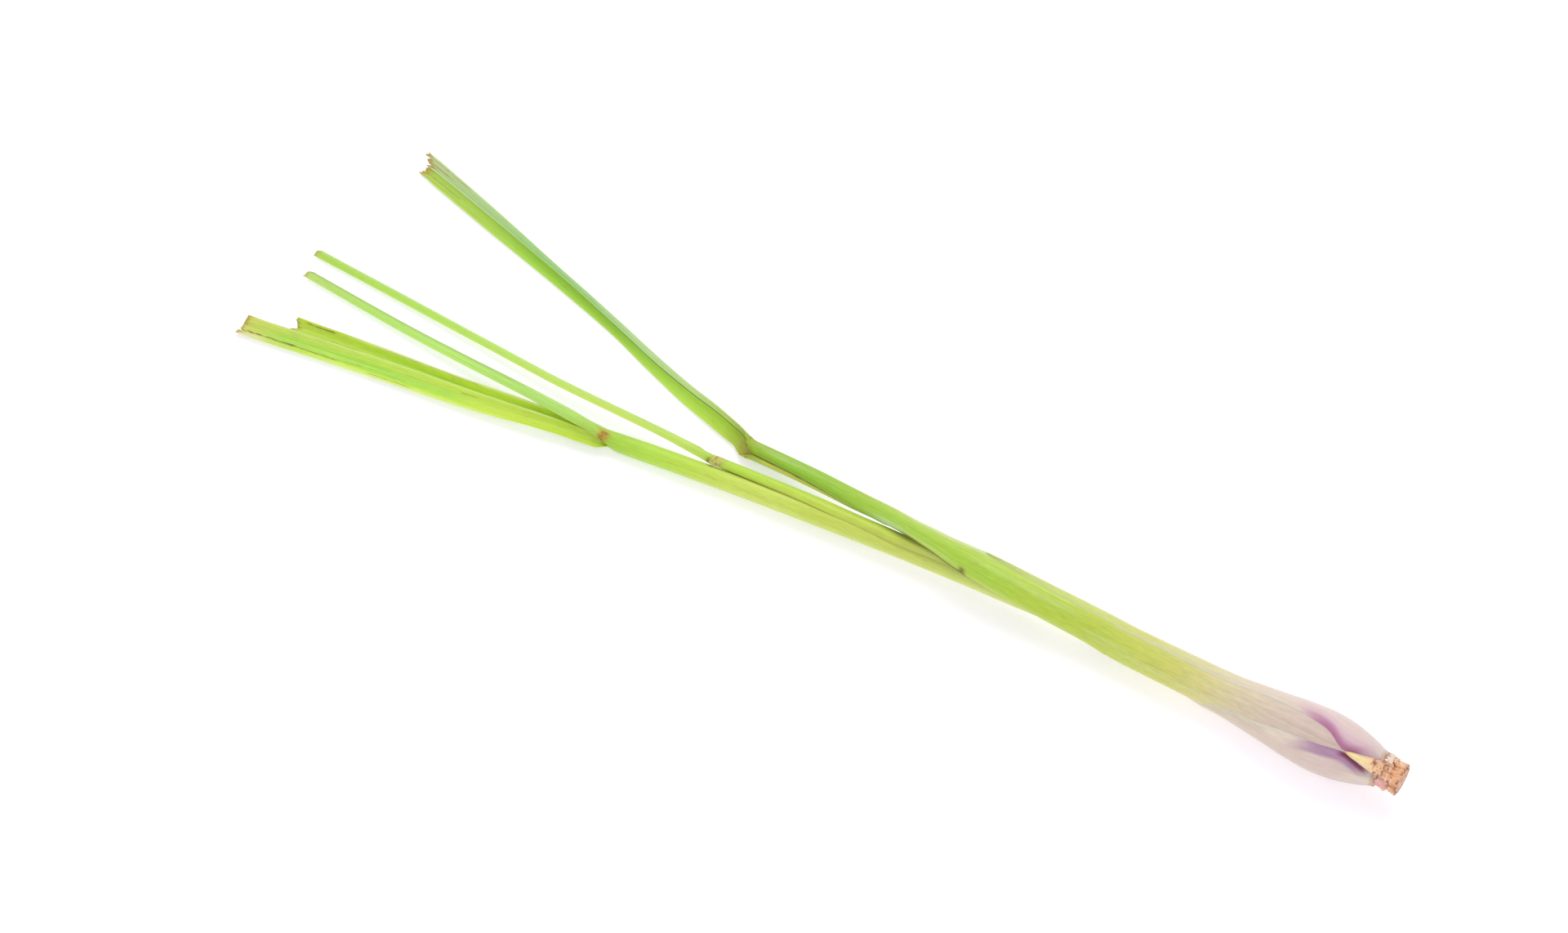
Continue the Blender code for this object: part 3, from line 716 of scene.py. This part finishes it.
def brown_streaks(tint, dry, s, streaks, code="6E4A1E"):
    """Thin brown marks, each (from X, to X, mm from the midrib, width in mm, strength)."""
    for start, end, place, width, strength in streaks:
        wander = place + 0.25 * (lattice(s.x * 0.12, place * 7, 6) - 0.5)
        width_here = width * (0.4 + 1.2 * lattice(s.x * 0.6, place * 40, 5))
        share = strength * window(s.x, start, end, 2.0) * bump(s.arc, wander, width_here)
        tint = tinted(tint, code, share)
        dry = np.maximum(dry, 0.7 * share)
    return tint, dry


def specks(tint, s, seed, density, strength):
    """Small brown freckles."""
    field = lattice(s.x * 0.9, s.angle * 0.09 + s.arc, seed)
    return tinted(tint, "8A7038", strength * ramp(field, 1 - density, 1 - 0.3 * density))


def two_faced(outer, inner, s):
    """Colours of both surfaces, put together by side."""
    return outer * s.outside[..., None] + inner * (1 - s.outside[..., None])


def facing(angle, centre, reach):
    """1 where the surface points at an angle around the stalk, 0 at reach from it."""
    off = abs((angle - centre + 180) % 360 - 180)
    return ramp(off, reach, 0)


def from_margin(s, side):
    """How far a point is from the far (1) or the near (-1) margin, on that half of the leaf."""
    return np.where(side * s.across > 0, s.edge, NO_MARGIN)


def paint_outer_sheath(s):
    skin = colours_along(
        s.x, (54, "B4D05C"), (62, "C4D874"), (71, "CCDC80"), (82, "CEDF84"), (96, "D2DD8A"),
        (110, "D8DA8C"), (121, "DCDB98"), (132, "E0D8A4"), (143, "E2D2B4"), (154, "E0CDBA"),
        (164, "E0C8BC"), (175, "DCC2BC"), (187, "DCC6BC"))
    skin = sappy(skin, 0.9 * ramp(s.x, 138, 96))
    patchy = lattice(s.x * 0.07, s.angle * 0.05, 11)
    from_upper, from_lower = from_margin(s, 1), from_margin(s, -1)
    reach = 0.8 + 0.4 * lattice(s.x * 0.22, 3.0, 12)
    lilac = ramp(s.x, 157, 170) * ramp(s.x, 188, 181) * ramp(from_upper, 7.0 * reach, 1.2)
    magenta = ramp(s.x, 159, 171) * ramp(s.x, 185, 179.5) * ramp(from_upper, 4.0 * reach, 0.4)
    risen = ramp(s.x, 171, 159)
    purple = (ramp(s.x, 159, 172) * ramp(s.x, 187, 181)
              * window(from_lower, 2.6 * risen, 2.2 + 1.4 * risen, 1.5))
    streak = ramp(s.x, 175.5, 178) * ramp(s.x, 187, 184) * ramp(from_lower, 2.1, 0.7)
    # A pale line along the margins, partly their own dry edge and partly a painted highlight where
    # the thin margins catch the light.
    rim = ramp(s.edge, 1.2, 0.2) * ramp(s.x, 166, 156)
    skin = coated(skin, (
        # Painted shade: the side turned down and towards -Y is greyed. Painted highlight: the
        # upper back side, turned to the key light, is paler.
        ("CCBEB0", 0.75 * facing(s.angle, 130, 110) * ramp(s.x, 120, 150)),
        ("E6DDD8", 0.35 * facing(s.angle, 300, 90) * ramp(s.x, 130, 160)),
        ("EFE6CE", 0.3 * ramp(patchy, 0.5, 0.9) * ramp(s.x, 90, 140)),
        ("CFA6C4", 0.65 * lilac),
        ("AE5C88", 0.8 * magenta),
        ("99699A", 0.75 * purple),
        ("7C2C50", 0.95 * streak),
        ("EEECC8", 0.5 * rim),
        ("B98A5E", 0.6 * ramp(s.root, 1.6, 0.2))))
    inner = colours_along(s.x, (54, "C8DA88"), (120, "DEDCA8"), (187, "E4D6C8"))
    tint = two_faced(skin, inner, s)
    return brown_ends(tint, 0.2 * rim, s, 1.6, 13, "C4C47C", 0.6)


def paint_leaf_1(s):
    skin = colours_along(
        s.x, (-190, "98C440"), (-60, "A0C83C"), (-44, "A4C23C"), (-36, "98B234"),
        (-25, "94BA2E"), (-15, "90C030"), (-4, "98C43A"), (10, "A4C848"), (25, "B2D25C"),
        (50, "B2D04C"), (71, "B4CF4C"), (82, "B7CE50"), (96, "BCCD58"), (110, "C6CF66"),
        (121, "CBCC6C"), (132, "D4CC88"), (143, "D6C8A6"), (154, "D4C3B0"), (164, "D2BFB2"),
        (175, "CCB6AA"), (186, "CCB0A2"))
    skin = sappy(skin, 0.35 + 0.65 * ramp(s.x, -40, -28) - ramp(s.x, 92, 136))
    patchy = lattice(s.x * 0.05, s.angle * 0.06, 21)
    glint = facing(s.angle, 310, 55) * window(s.x, 34, 90, 14)
    greener = facing(s.angle, 40, 60) * window(s.x, -24, 60, 12)
    # A pale bluish painted sheen on the side turned towards -Y, around x = 22.
    painted_sheen = bump(s.x, 22, 9) * facing(s.angle, 75, 35)
    lower = ramp(from_margin(s, -1), 2.6, 1.2) * ramp(s.x, -31, -24) * ramp(s.x, 14, -2)
    seam = (ramp(s.edge, 0.45, 0.1) * ramp(s.x, -33, -28) * ramp(s.x, 6, -4)
            * (0.5 + lattice(s.x * 0.4, s.across, 25)))
    brink = from_margin(s, 1)
    brown_brink = ramp(brink, 1.9, 1.1) * ramp(s.x, 22, 32) * ramp(s.x, 53, 51)
    hook = bump(s.x, 50.8, 1.6) * ramp(brink, 3.6, 2.2)
    skin = coated(skin, (
        ("D0E4A0", 0.25 * ramp(patchy, 0.55, 0.9) * ramp(s.x, 150, 120)),
        ("DDE9B4", 0.7 * glint),
        ("9CCC48", 0.35 * greener),
        ("BFDCB8", 0.5 * painted_sheen),
        ("D6D664", 0.9 * lower),
        ("7A5C22", 0.85 * seam),
        ("6E5C1E", 0.85 * brown_brink),
        ("5E4416", 0.85 * hook)))
    # The inner face's far half is painted paler and bluer as a painted highlight, and its near
    # half a deeper green as painted shade.
    lit_inner_far = colours_along(
        s.x, (-190, "C8D8A4"), (-172, "BED8A4"), (-157, "BCDCA6"), (-138, "B8E0A8"),
        (-118, "BAE2B0"), (-95, "C4E6B8"), (-61, "D2EAB6"), (-45, "CCE08C"), (-35, "B8C86A"),
        (60, "C8DC90"), (187, "E4DCC4"))
    shaded_inner_near = colours_along(
        s.x, (-190, "AACB58"), (-157, "A8CC4C"), (-138, "A0CE44"), (-118, "A0CC46"),
        (-95, "9ECA42"), (-61, "B4DC50"), (-45, "B2D446"), (-35, "A6B83C"), (60, "C8DC90"),
        (187, "E4DCC4"))
    far = s.across > 0
    inner = np.where(far[..., None], lit_inner_far, shaded_inner_near)
    # More blue is taken from the near half, deepening its painted shade.
    inner = sappy(inner, 0.4 + 0.3 * (s.across < 0) - 0.4 * ramp(s.x, 60, 120))
    # A painted highlight along the far margin, the top edge that the key light catches.
    pale_rim = ramp(s.edge, 0.6, 0.1) * far
    midline = bump(s.arc, 0.3, 0.3) * ramp(s.x, -34, -46)
    # Painted shade down the valley of the blade's fold, beside the midrib.
    groove = bump(s.arc, -0.12, 0.28) * ramp(s.x, -31, -34) * ramp(s.x, -118, -62)
    inner = coated(inner, (
        ("DDE9C4", 0.6 * pale_rim),
        ("DCEAB4", 0.7 * midline),
        ("3C6A10", 0.85 * groove)))
    tint = two_faced(skin, inner, s)
    collar = bump(s.x, -33.2, 4.2)
    crumple = lattice(s.x * 1.3, s.arc * 1.7, 22)
    dark = bump(s.x, -30.6, 2.2) * bump(s.arc, 1.0, 1.5)
    tint = coated(tint, (
        ("C6BC5C", 0.75 * collar * ramp(s.across, 0.9, 0.3)),
        ("7A5420", 0.5 * collar * ramp(crumple, 0.6, 0.85)),
        ("3E260C", 0.9 * dark)))
    dry = np.maximum(0.6 * collar, 0.6 * brown_brink)
    tint, dry = brown_streaks(tint, dry, s, (
        (-192, -172, -2.4, 0.3, 0.8), (-190, -178, 2.0, 0.3, 0.7), (-186, -160, -3.6, 0.15, 0.5),
        (-188, -170, 3.6, 0.25, 0.6)), code="A8843C")
    tint = specks(tint, s, 26, 0.07, strength=0.22)
    return brown_ends(tint, dry, s, 4.5, 23, "B49446", 0.8)


def paint_leaf_2(s):
    skin = colours_along(
        s.x, (-196, "B0D666"), (-143, "B8E473"), (-110, "C3E67F"), (-78, "CCE780"),
        (-49, "C4E078"), (-40, "B4D25C"), (-28, "B4DA4E"), (-14, "BCDA56"), (0, "C0D85A"),
        (14, "C2D660"), (27, "C2D062"), (60, "CAD684"), (80, "C8D484"), (183, "DCD2A8"))
    skin = sappy(skin, 0.9)
    upper = ramp(s.across, 0.1, -0.5) * ramp(s.x, -46, -60)
    ridge = bump(s.arc, 0.0, 0.5) * ramp(s.x, -50, -60)
    line = ramp(from_margin(s, 1), 0.5, 0.12) * ramp(s.x, -39, -33) * ramp(s.x, 12, 0)
    skin = coated(skin, (
        ("A2D458", 0.5 * upper),
        ("A2CC58", 0.3 * ridge),
        ("9A8438", 0.7 * line)))
    inner = colours_along(s.x, (-196, "B4DC74"), (-50, "C0D870"), (183, "E0DCB4"))
    tint = two_faced(skin, inner, s)
    patch = bump(s.x, -36.0, 3.2)
    fleck = lattice(s.x * 1.4, s.arc * 1.5, 35)
    dark = bump(s.x, -38.7, 1.3) * ramp(s.across, 0.3, 0.8)
    tint = coated(tint, (
        ("C8B070", 0.65 * patch),
        ("9A6A3A", 0.7 * patch * ramp(fleck, 0.55, 0.85)),
        ("5E4420", 0.75 * dark)))
    dry = np.maximum(0.7 * patch, line)
    tint = specks(tint, s, 36, 0.06, strength=0.25)
    return brown_ends(tint, dry, s, 2.4, 33, "B09A60", 0.7)


def paint_leaf_3(s):
    skin = colours_along(
        s.x, (-193, "BCDA7C"), (-168, "B6E274"), (-135, "BCE97B"), (-102, "B2DF76"),
        (-86, "B2DC72"), (-78, "ACD264"), (-68, "A9D24C"), (-56, "B4DE54"), (-42, "BEDD58"),
        (-28, "C8DC68"), (-14, "C8DB6A"), (0, "C4D660"), (14, "C6D668"), (27, "C4D068"),
        (45, "C4D270"), (60, "CCD882"), (80, "CCD882"), (179, "DCD6A8"))
    pale = facing(s.angle, 95, 50) * ramp(s.x, -50, -20)
    skin = tinted(skin, "D6E48E", 0.4 * pale)
    skin = sappy(skin, 0.85 - 0.45 * ramp(s.x, -80, -92))
    upper = ramp(s.across, 0.0, -0.4) * window(s.x, -192, -112, 14)
    ridge = bump(s.arc, 0.0, 0.5) * ramp(s.x, -84, -94)
    skin = coated(skin, (
        ("8CAE48", 0.6 * upper),
        ("92BE50", 0.3 * ridge)))
    inner = colours_along(s.x, (-193, "B4DC80"), (-74, "B8D870"), (179, "E0DCB4"))
    tint = two_faced(skin, inner, s)
    wander = 1.6 * (lattice(s.angle * 0.03, 2.0, 45) - 0.5)
    around = facing(s.angle, 60, 100)
    crescent = bump(s.x, -72.8 + wander - 2.2 * facing(s.angle, 95, 50), 3.0)
    fleck = lattice(s.x * 1.6, s.angle * 0.09, 46)
    dark = bump(s.x, -77.0, 1.5) * facing(s.angle, 85, 45)
    mark = window(s.x, -73, -69, 1.0) * facing(s.angle, 96, 7)
    tint = coated(tint, (
        ("BC8830", 0.9 * crescent * ramp(around, 0.0, 0.35)),
        ("8A5C1C", 0.7 * crescent * ramp(fleck, 0.5, 0.8) * ramp(around, 0, 0.5)),
        ("48280F", 0.85 * dark),
        ("7A5424", 0.8 * mark)))
    tint = specks(tint, s, 47, 0.06, strength=0.25)
    return brown_ends(tint, 0.7 * crescent, s, 2.4, 43, "B09A60", 0.7)


def paint_leaf_4(s):
    inner = colours_along(
        s.x, (-182, "BCD448"), (-165, "B8D63E"), (-148, "B8DA3A"), (-130, "B8DC30"),
        (-112, "C0E034"), (-94, "BCDA32"), (-74, "B6D03C"), (60, "D8DC98"))
    ridge = lattice(s.x * 0.03, s.across * 9, 51)
    # A painted highlight along the far margin, the top edge that the key light catches.
    rim = ramp(from_margin(s, 1), 0.9, 0.2) * window(s.x, -158, -98, 10)
    inner = coated(inner, (
        ("C4DE50", 0.35 * ramp(ridge, 0.5, 0.9)),
        ("E2EDB4", 0.7 * rim)))
    outer = tinted(inner, "A6CC58", 0.5)
    tint = two_faced(outer, inner, s)
    tint, dry = brown_streaks(tint, np.zeros_like(s.x), s, (
        (-178, -170, 2.2, 0.3, 0.8), (-176, -166, -2.3, 0.35, 0.9), (-150, -118, 2.6, 0.12, 0.5),
        (-168, -158, -1.2, 0.15, 0.5)))
    tint = specks(tint, s, 56, 0.06, strength=0.25)
    return brown_ends(tint, dry, s, 2.4, 53, "A08444", 0.75)


def paint_leaf_5(s):
    inner = colours_along(
        s.x, (-196, "CACF70"), (-184, "BED668"), (-167, "BEDC60"), (-153, "BEE05C"),
        (-139, "C0E05C"), (-122, "C4E258"), (-106, "C4DE58"), (-89, "BCD84A"),
        (-74, "B8D446"), (60, "D8DC98"))
    inner = sappy(inner, 0.8)
    midrib = window(s.arc, -1.2, 0.8, 1.2) * window(s.x, -180, -128, 16)
    near = ramp(s.arc, -1.8, -3.2)
    ridge = lattice(s.x * 0.03, s.across * 10, 61)
    # A painted highlight along the far margin, the top edge that the key light catches.
    far_rim = ramp(from_margin(s, 1), 0.8, 0.2) * window(s.x, -186, -94, 10)
    lobe = ramp(s.x, -184, -192) * ramp(s.arc, -1.4, -2.2)
    inner = coated(inner, (
        ("A2D848", 0.75 * midrib),
        ("D6EE74", 0.7 * near * window(s.x, -160, -112, 16)),
        ("D4EA78", 0.3 * ramp(ridge, 0.5, 0.9)),
        ("D2EE94", 0.6 * far_rim),
        ("DCD8A8", 0.7 * lobe)))
    outer = tinted(inner, "A6CC60", 0.5)
    tint = two_faced(outer, inner, s)
    tint, dry = brown_streaks(tint, np.zeros_like(s.x), s, (
        (-193, -178, -1.3, 0.4, 0.9), (-184, -164, -1.7, 0.3, 0.8), (-176, -156, -0.9, 0.14, 0.6),
        (-158, -140, -0.7, 0.12, 0.5), (-150, -136, -2.9, 0.22, 0.7), (-120, -117, 2.0, 0.3, 0.7)))
    tint = specks(tint, s, 66, 0.06, strength=0.25)
    return brown_ends(tint, dry, s, 2.4, 63, "A88A48", 0.75)


def paint_bud(s):
    skin = colours_along(s.x, (178, "E4CE8C"), (181, "F2DFA2"), (184, "F6DCA8"),
                         (187, "F4D0A4"), (190, "E8B48C"))
    fleck = lattice(s.x * 2.2, s.across * 3, 71)
    spots = ramp(fleck, 0.66, 0.88) * ramp(s.x, 184, 188)
    skin = coated(skin, (
        ("C98E5C", 0.5 * ramp(s.tip, 1.2, 0.2)),
        ("C2607C", 0.45 * ramp(s.across, -0.3, -0.95) * ramp(s.x, 178, 181)),
        ("9A3E22", 0.75 * spots),
        ("8C2F1C", 0.85 * bump(s.x, 187.2, 1.1) * bump(s.across, -0.25, 0.4))))
    return skin, 0.3 * spots


def paint_scrap(light, dark, seed):
    def paint(s):
        skin = colours_along(s.x, (186, light), (192, dark))
        fleck = lattice(s.x * 2.0, s.across * 8, seed)
        skin = tinted(skin, "A87850", 0.45 * ramp(fleck, 0.6, 0.9))
        skin = tinted(skin, "B98A60", 0.35 * ramp(s.edge, 0.3, 0.0))
        return skin, np.full_like(s.x, 0.8)
    return paint


def collar_1_lip(x, across, _):
    return 0.45 * bump(x, -32.8, 3.0) * (lattice(x * 1.1, across * 7, 27) - 0.4)


def collar_2_lip(x, across, _):
    shoulder = 0.7 * bump(x, -37.4, 1.8) * ramp(across, -0.2, 0.6)
    return shoulder + 0.18 * bump(x, -36.0, 3.0) * lattice(x * 1.2, across * 8, 37)


def collar_3_lip(x, _, angles):
    turned = angles % 360
    lip = 0.4 * bump(x, -75.0 - 1.6 * facing(turned, 95, 50), 1.3) * facing(turned, 60, 90)
    return lip - 0.12 * bump(x, -72.0, 1.2) * facing(turned, 60, 90)


def bud_keel(x, across, _):
    return 0.4 * (1 - across ** 2) * window(x, 181, 187, 3)


def build_leaves():
    sheath = tissue("sheath", vein_depth=0.06, blotch=0.05, roughness=0.38, soft=0.3)
    green = tissue("green_leaf", vein_depth=0.1, blotch=0.07, roughness=0.4)
    strip = tissue("keeled_blade", vein_depth=0.09, blotch=0.06, roughness=0.4)
    gutter = tissue("wide_blade", vein_depth=0.11, blotch=0.07, roughness=0.4, soft=0.35)
    scale = tissue("bud_scale", vein_depth=0.05, blotch=0.06, roughness=0.45, soft=0.3)
    papery = fibrous("papery_scrap", depth=0.1)

    build_leaf(
        "outer_sheath", sheath,
        rows_between(NECK_X, (172, 0.5), (146, 0.8), (OUTER_TORN_X + 6, 1.6),
                     (OUTER_TORN_X, 0.4)),
        outer_sheath_sections, columns(80), paint_outer_sheath, vein_count=170, seed=1,
        taper=0.12, thin_reach=2.6, hug=lambda x: 0.2 + 0.16 * ramp(x, 56, 76), rib=0.02,
        rib_count=22, tip_shift=lambda a: 0.8 + ragged(a, 14, 5.0, 7), tip_reach=8.0,
        root_shift=lambda a: ragged(a, 15, 0.9, 16))
    build_leaf(
        "leaf_1", green,
        rows_between(186, (146, 0.9), (60, 1.6), (40, 0.6), (-25, 1.2), (-46, 0.3), (-180, 1.4),
                     (LEAF_1.tip_x, 0.3)),
        leaf_1_sections, columns(60), paint_leaf_1, vein_count=110, seed=2, taper=0.3,
        hug=lambda x: 0.06 + 0.1 * window(x, 28, 54, 6), rib=0.02, rib_count=18,
        swell=collar_1_lip, vein_turn=LEAF_1.vein_turn, vein_opening=58,
        tip_shift=lambda a: -1.0 * a + ragged(a, 24, 4.2, 7))
    build_leaf(
        "leaf_2", strip,
        rows_between(183, (90, 6.0), (-30, 1.4), (-54, 0.3), (-188, 1.4), (LEAF_2.tip_x, 0.3)),
        leaf_2_sections, columns(36), paint_leaf_2, vein_count=70, seed=3,
        taper=lambda x: 0.08 + 0.3 * ramp(x, 10, 0), thin_reach=2.0,
        hug=0.27, rib=0.012, swell=collar_2_lip, vein_turn=LEAF_2.vein_turn,
        vein_opening=LEAF_2.tube_opening,
        tip_shift=lambda a: -0.6 * a + ragged(a, 34, 0.5, 3), tip_reach=16.0)
    build_leaf(
        "leaf_3", strip,
        rows_between(179, (84, 6.0), (-60, 1.4), (-92, 0.3), (-186, 1.4), (LEAF_3.tip_x, 0.3)),
        inner_leaf_sections(LEAF_3), columns(36), paint_leaf_3, vein_count=70, seed=4, taper=0.35,
        rib=0.012, swell=collar_3_lip, vein_turn=LEAF_3.collar, vein_opening=160,
        tip_shift=lambda a: -0.8 * a + ragged(a, 44, 0.5, 3), tip_reach=16.0)
    build_leaf(
        "leaf_4", gutter,
        rows_between(175, (-40, 9.0), (-176, 1.2), (LEAF_4.tip_x, 0.3)),
        inner_leaf_sections(LEAF_4), columns(40, 0.3), paint_leaf_4, vein_count=44, seed=5,
        taper=0.4, rib=0.03, rib_count=9, vein_turn=LEAF_4.collar,
        vein_opening=LEAF_4.tube_opening,
        tip_shift=lambda a: -1.0 + 1.5 * bump(a, -0.1, 0.6) + ragged(a, 54, 0.9, 3))
    build_leaf(
        "leaf_5", gutter,
        rows_between(171, (-40, 9.0), (-188, 1.2), (LEAF_5.tip_x, 0.3)),
        inner_leaf_sections(LEAF_5), columns(44, 0.3), paint_leaf_5, vein_count=50, seed=6,
        taper=0.4, rib=0.03, rib_count=9, vein_turn=LEAF_5.collar,
        vein_opening=LEAF_5.tube_opening,
        tip_shift=lambda a: np.maximum(
            -1.2, 3.4 * bump(a, -0.42, 0.12) - 1.1 + ragged(a, 64, 0.8, 3)))
    build_leaf(
        "tiller_bud", scale, rows_between(BUD_FOOT_X, (BUD_TIP_X, 0.18)),
        bud_sections, columns(16), paint_bud, vein_count=130, seed=7, taper=0.2,
        thin_reach=0.7, hug=0.3, swell=bud_keel, root_shift=lambda a: ragged(a, 74, 0.8, 4))
    for name, (middle, half_span, end_x), light, dark, seed in (
            ("neck_scale_upper", UPPER_SCRAP, "FAEADC", "F0D2B8", 8),
            ("neck_scale_lower", LOWER_SCRAP, "EFC0B8", "E4AAA0", 9)):
        build_leaf(
            name, papery, rows_between(end_x, (SCRAP_START_X, 0.12)),
            scrap_sections(middle, half_span, end_x), columns(26), paint_scrap(light, dark, seed),
            vein_count=120, seed=seed, taper=0.3, thin_reach=0.6,
            tip_shift=lambda a: ragged(a, 84, 1.6, 6), tip_reach=1.8,
            root_shift=lambda a: ragged(a, 85, 1.4, 5))


# ---- the stem ---------------------------------------------------------------

def wrapped(count, turn, v, seed):
    """Random values which change count times in a turn, and close round the stem."""
    first, second = lattice(count * turn, v, seed), lattice(count * (turn - 1), v, seed)
    return first * (1 - turn) + second * turn


def stem_side(x, turn):
    """The ridged, scarred side: its radius and colours, for a column of places along X."""
    shown = ramp(x, 186.0, 188.0)
    ridges = wrapped(46, turn, x * 0.25, 91) - 0.5
    lumps = wrapped(11, turn, x * 0.7, 92) - 0.5
    wobble_x = x + 0.7 * (wrapped(9, turn, 0.0, 93) - 0.5)
    scar = bump(wobble_x, 188.3, 0.5) + bump(wobble_x, 191.7, 0.55)
    groove = bump(wobble_x, 189.1, 0.5) + bump(wobble_x, 192.5, 0.5)
    crumble = wrapped(70, turn, x * 2.2, 94)
    frayed = wrapped(60, turn, 1.0, 95)
    radius = along(x, STEM_PROFILE) + shown * (
        0.5 * ridges + 0.8 * lumps + 0.45 * scar * crumble - 0.4 * groove
        + 0.25 * (crumble - 0.5))
    radius = radius + 0.5 * bump(x, 195.0, 0.7) * (frayed - 0.45)
    skin = colours_along(x, (STEM_FOOT_X, "D8C8A0"), (186, "E6CDB4"), (188.2, "F6DECA"),
                         (190, "F4CCA8"), (192, "F0BA90"), (194, "EEB88C"), (195.5, "DCA478"))
    spots = ramp(wrapped(34, turn, x * 1.1, 96), 0.72, 0.88) * shown
    dots = ramp(wrapped(20, turn, x * 0.9, 97), 0.86, 0.95) * shown
    skin = coated(skin, (
        ("F6DEC6", 0.6 * ramp(lumps, 0.05, 0.35)),
        ("BC7E4C", 0.6 * shown * ramp(ridges, 0.05, -0.3)),
        ("6A4020", 0.7 * bump(x, 195.1, 0.5) * ramp(frayed, 0.6, 0.3)),
        ("7C4524", 0.75 * groove * ramp(crumble, 0.35, 0.8)),
        ("F8E8D8", 0.6 * scar * crumble),
        ("7E2C16", 0.8 * spots),
        ("3A2416", 0.85 * dots)))
    return radius, skin


def stem_face(share, turn):
    """The rough cut face: its places along X and colours, for a column of shares of its radius."""
    fibres = wrapped(52, turn, share * 9, 98)
    face_x = (STEM_FACE_X + 0.3 * (wrapped(24, turn, share * 6, 99) - 0.5)
              + 0.3 * (fibres - 0.5) - 0.7 * bump(share, 0.86, 0.1) * fibres)
    skin = np.broadcast_to(colour("ECBFA2"), (*face_x.shape, 3))
    bundles = ramp(wrapped(60, turn, share * 22, 101), 0.68, 0.85)
    ring = bump(share, 0.85 + 0.06 * (wrapped(14, turn, 3.0, 102) - 0.5), 0.1)
    skin = coated(skin, (
        ("D49C74", 0.6 * ramp(fibres, 0.45, 0.8)),
        ("F2CDB4", 0.5 * ramp(wrapped(16, turn, share * 4, 100), 0.55, 0.8)),
        ("8E5A34", 0.65 * bundles),
        ("50301A", 0.95 * ring * (0.45 + 0.9 * fibres)),
        ("C48E62", 0.6 * ramp(share, 0.93, 1.0))))
    return np.minimum(face_x, STEM_END_X), skin


def build_stem_base():
    """The woody stub, turned round the stalk's axis, from inside the bulb to its cut face."""
    x = np.concatenate((np.linspace(172.2, 184, 12), np.linspace(184.5, 195.25, 90)))[:, None]
    share = np.linspace(1.0, 0.02, 34)[:, None]
    around = np.linspace(0, 2 * np.pi, 180, endpoint=False)[None, :]
    turn = around / (2 * np.pi)
    radius, side_skin = stem_side(x, turn)
    face_x, face_skin = stem_face(share, turn)
    all_x = np.concatenate((np.broadcast_to(x, radius.shape), face_x))
    radius = np.concatenate((radius, radius[-1:] * share))
    axis = peeled_axis(np.array([NECK_X]))[0]
    rings = np.stack((all_x, axis[0] - radius * np.sin(around),
                      axis[1] + radius * np.cos(around)), axis=-1)
    points = np.concatenate((rings.reshape(-1, 3), [[STEM_FOOT_X, *axis], [195.3, *axis]]))

    index = np.arange(radius.size).reshape(radius.shape)
    foot, tip = radius.size, radius.size + 1
    closing = [(a, b, foot, foot) for a, b in zip(index[0], np.roll(index[0], -1))]
    closing += [(b, a, tip, tip) for a, b in zip(index[-1], np.roll(index[-1], -1))]
    tint = np.concatenate((np.concatenate((side_skin, face_skin)).reshape(-1, 3),
                           [colour("D8C8A0"), colour("E6B79C")]))
    fibre_x = np.concatenate((x, 196 + 6 * (1 - share)))
    grain = np.stack(np.broadcast_arrays(turn * 90, fibre_x, 10.0), axis=-1).reshape(-1, 3)
    item = mesh_object("stem_base", points, np.concatenate((ring_faces(index), closing)), tint,
                       np.full(len(points), 0.6), np.concatenate((grain, grain[:2])))
    claim(item, "stem_base", fibrous("cut_stem", roughness=0.68))


# ---- floor, light and camera ------------------------------------------------

def build_stage():
    nodes = Nodes("floor_paper")
    tooth = nodes.noise(nodes.place(), detail=3.0, scale=900)
    nodes.shade({
        "Base Color": (0.74, 0.725, 0.76, 1), "Emission Color": (0.965, 0.945, 1.0, 1),
        "Emission Strength": FLOOR_GLOW, "Roughness": nodes.fit(tooth, 0.3, 0.7, 0.55, 0.65)})
    bpy.ops.mesh.primitive_plane_add(size=6.0, location=(0, 0, 0))
    floor = bpy.context.object
    floor.name = "floor"
    floor.data.materials.append(nodes.material)


def add_area_light(name, place, aim, size, power, tone):
    light = bpy.data.lights.new(name, "AREA")
    light.shape = "SQUARE"
    light.size = size
    light.energy = power
    light.color = tone
    item = bpy.data.objects.new(name, light)
    item.location = place
    item.rotation_euler = (Vector(aim) - Vector(place)).to_track_quat("-Z", "Y").to_euler()
    bpy.context.scene.collection.objects.link(item)


def build_light():
    world = bpy.data.worlds.new("soft_room")
    world.use_nodes = True
    background = world.node_tree.nodes["Background"]
    background.inputs["Color"].default_value = (0.97, 0.96, 1.0, 1)
    background.inputs["Strength"].default_value = ROOM_LIGHT
    bpy.context.scene.world = world
    add_area_light("key", (-0.3, 0.8, 1.4), (0, 0, 0), 1.4, KEY_POWER, (1.0, 0.985, 0.96))
    add_area_light("fill", (0.5, -1.1, 1.2), (0, 0, 0), 1.4, FILL_POWER, (1.0, 1.0, 1.0))
    bpy.context.scene.view_settings.view_transform = "Standard"


def build_camera():
    level = CAMERA_DISTANCE * math.cos(math.radians(CAMERA_ELEVATION))
    turn = math.radians(CAMERA_AZIMUTH)
    rise = CAMERA_DISTANCE * math.sin(math.radians(CAMERA_ELEVATION))
    aim = Vector(CAMERA_AIM)
    camera = bpy.data.objects.new("camera", bpy.data.cameras.new("camera"))
    camera.data.lens = LENS
    camera.data.sensor_width = SENSOR_WIDTH
    camera.location = aim + Vector((level * math.sin(turn), -level * math.cos(turn), rise))
    camera.rotation_euler = (aim - camera.location).to_track_quat("-Z", "Y").to_euler()
    bpy.context.scene.collection.objects.link(camera)
    bpy.context.scene.camera = camera


build_camera()
build_light()
build_stage()
build_leaves()
build_stem_base()
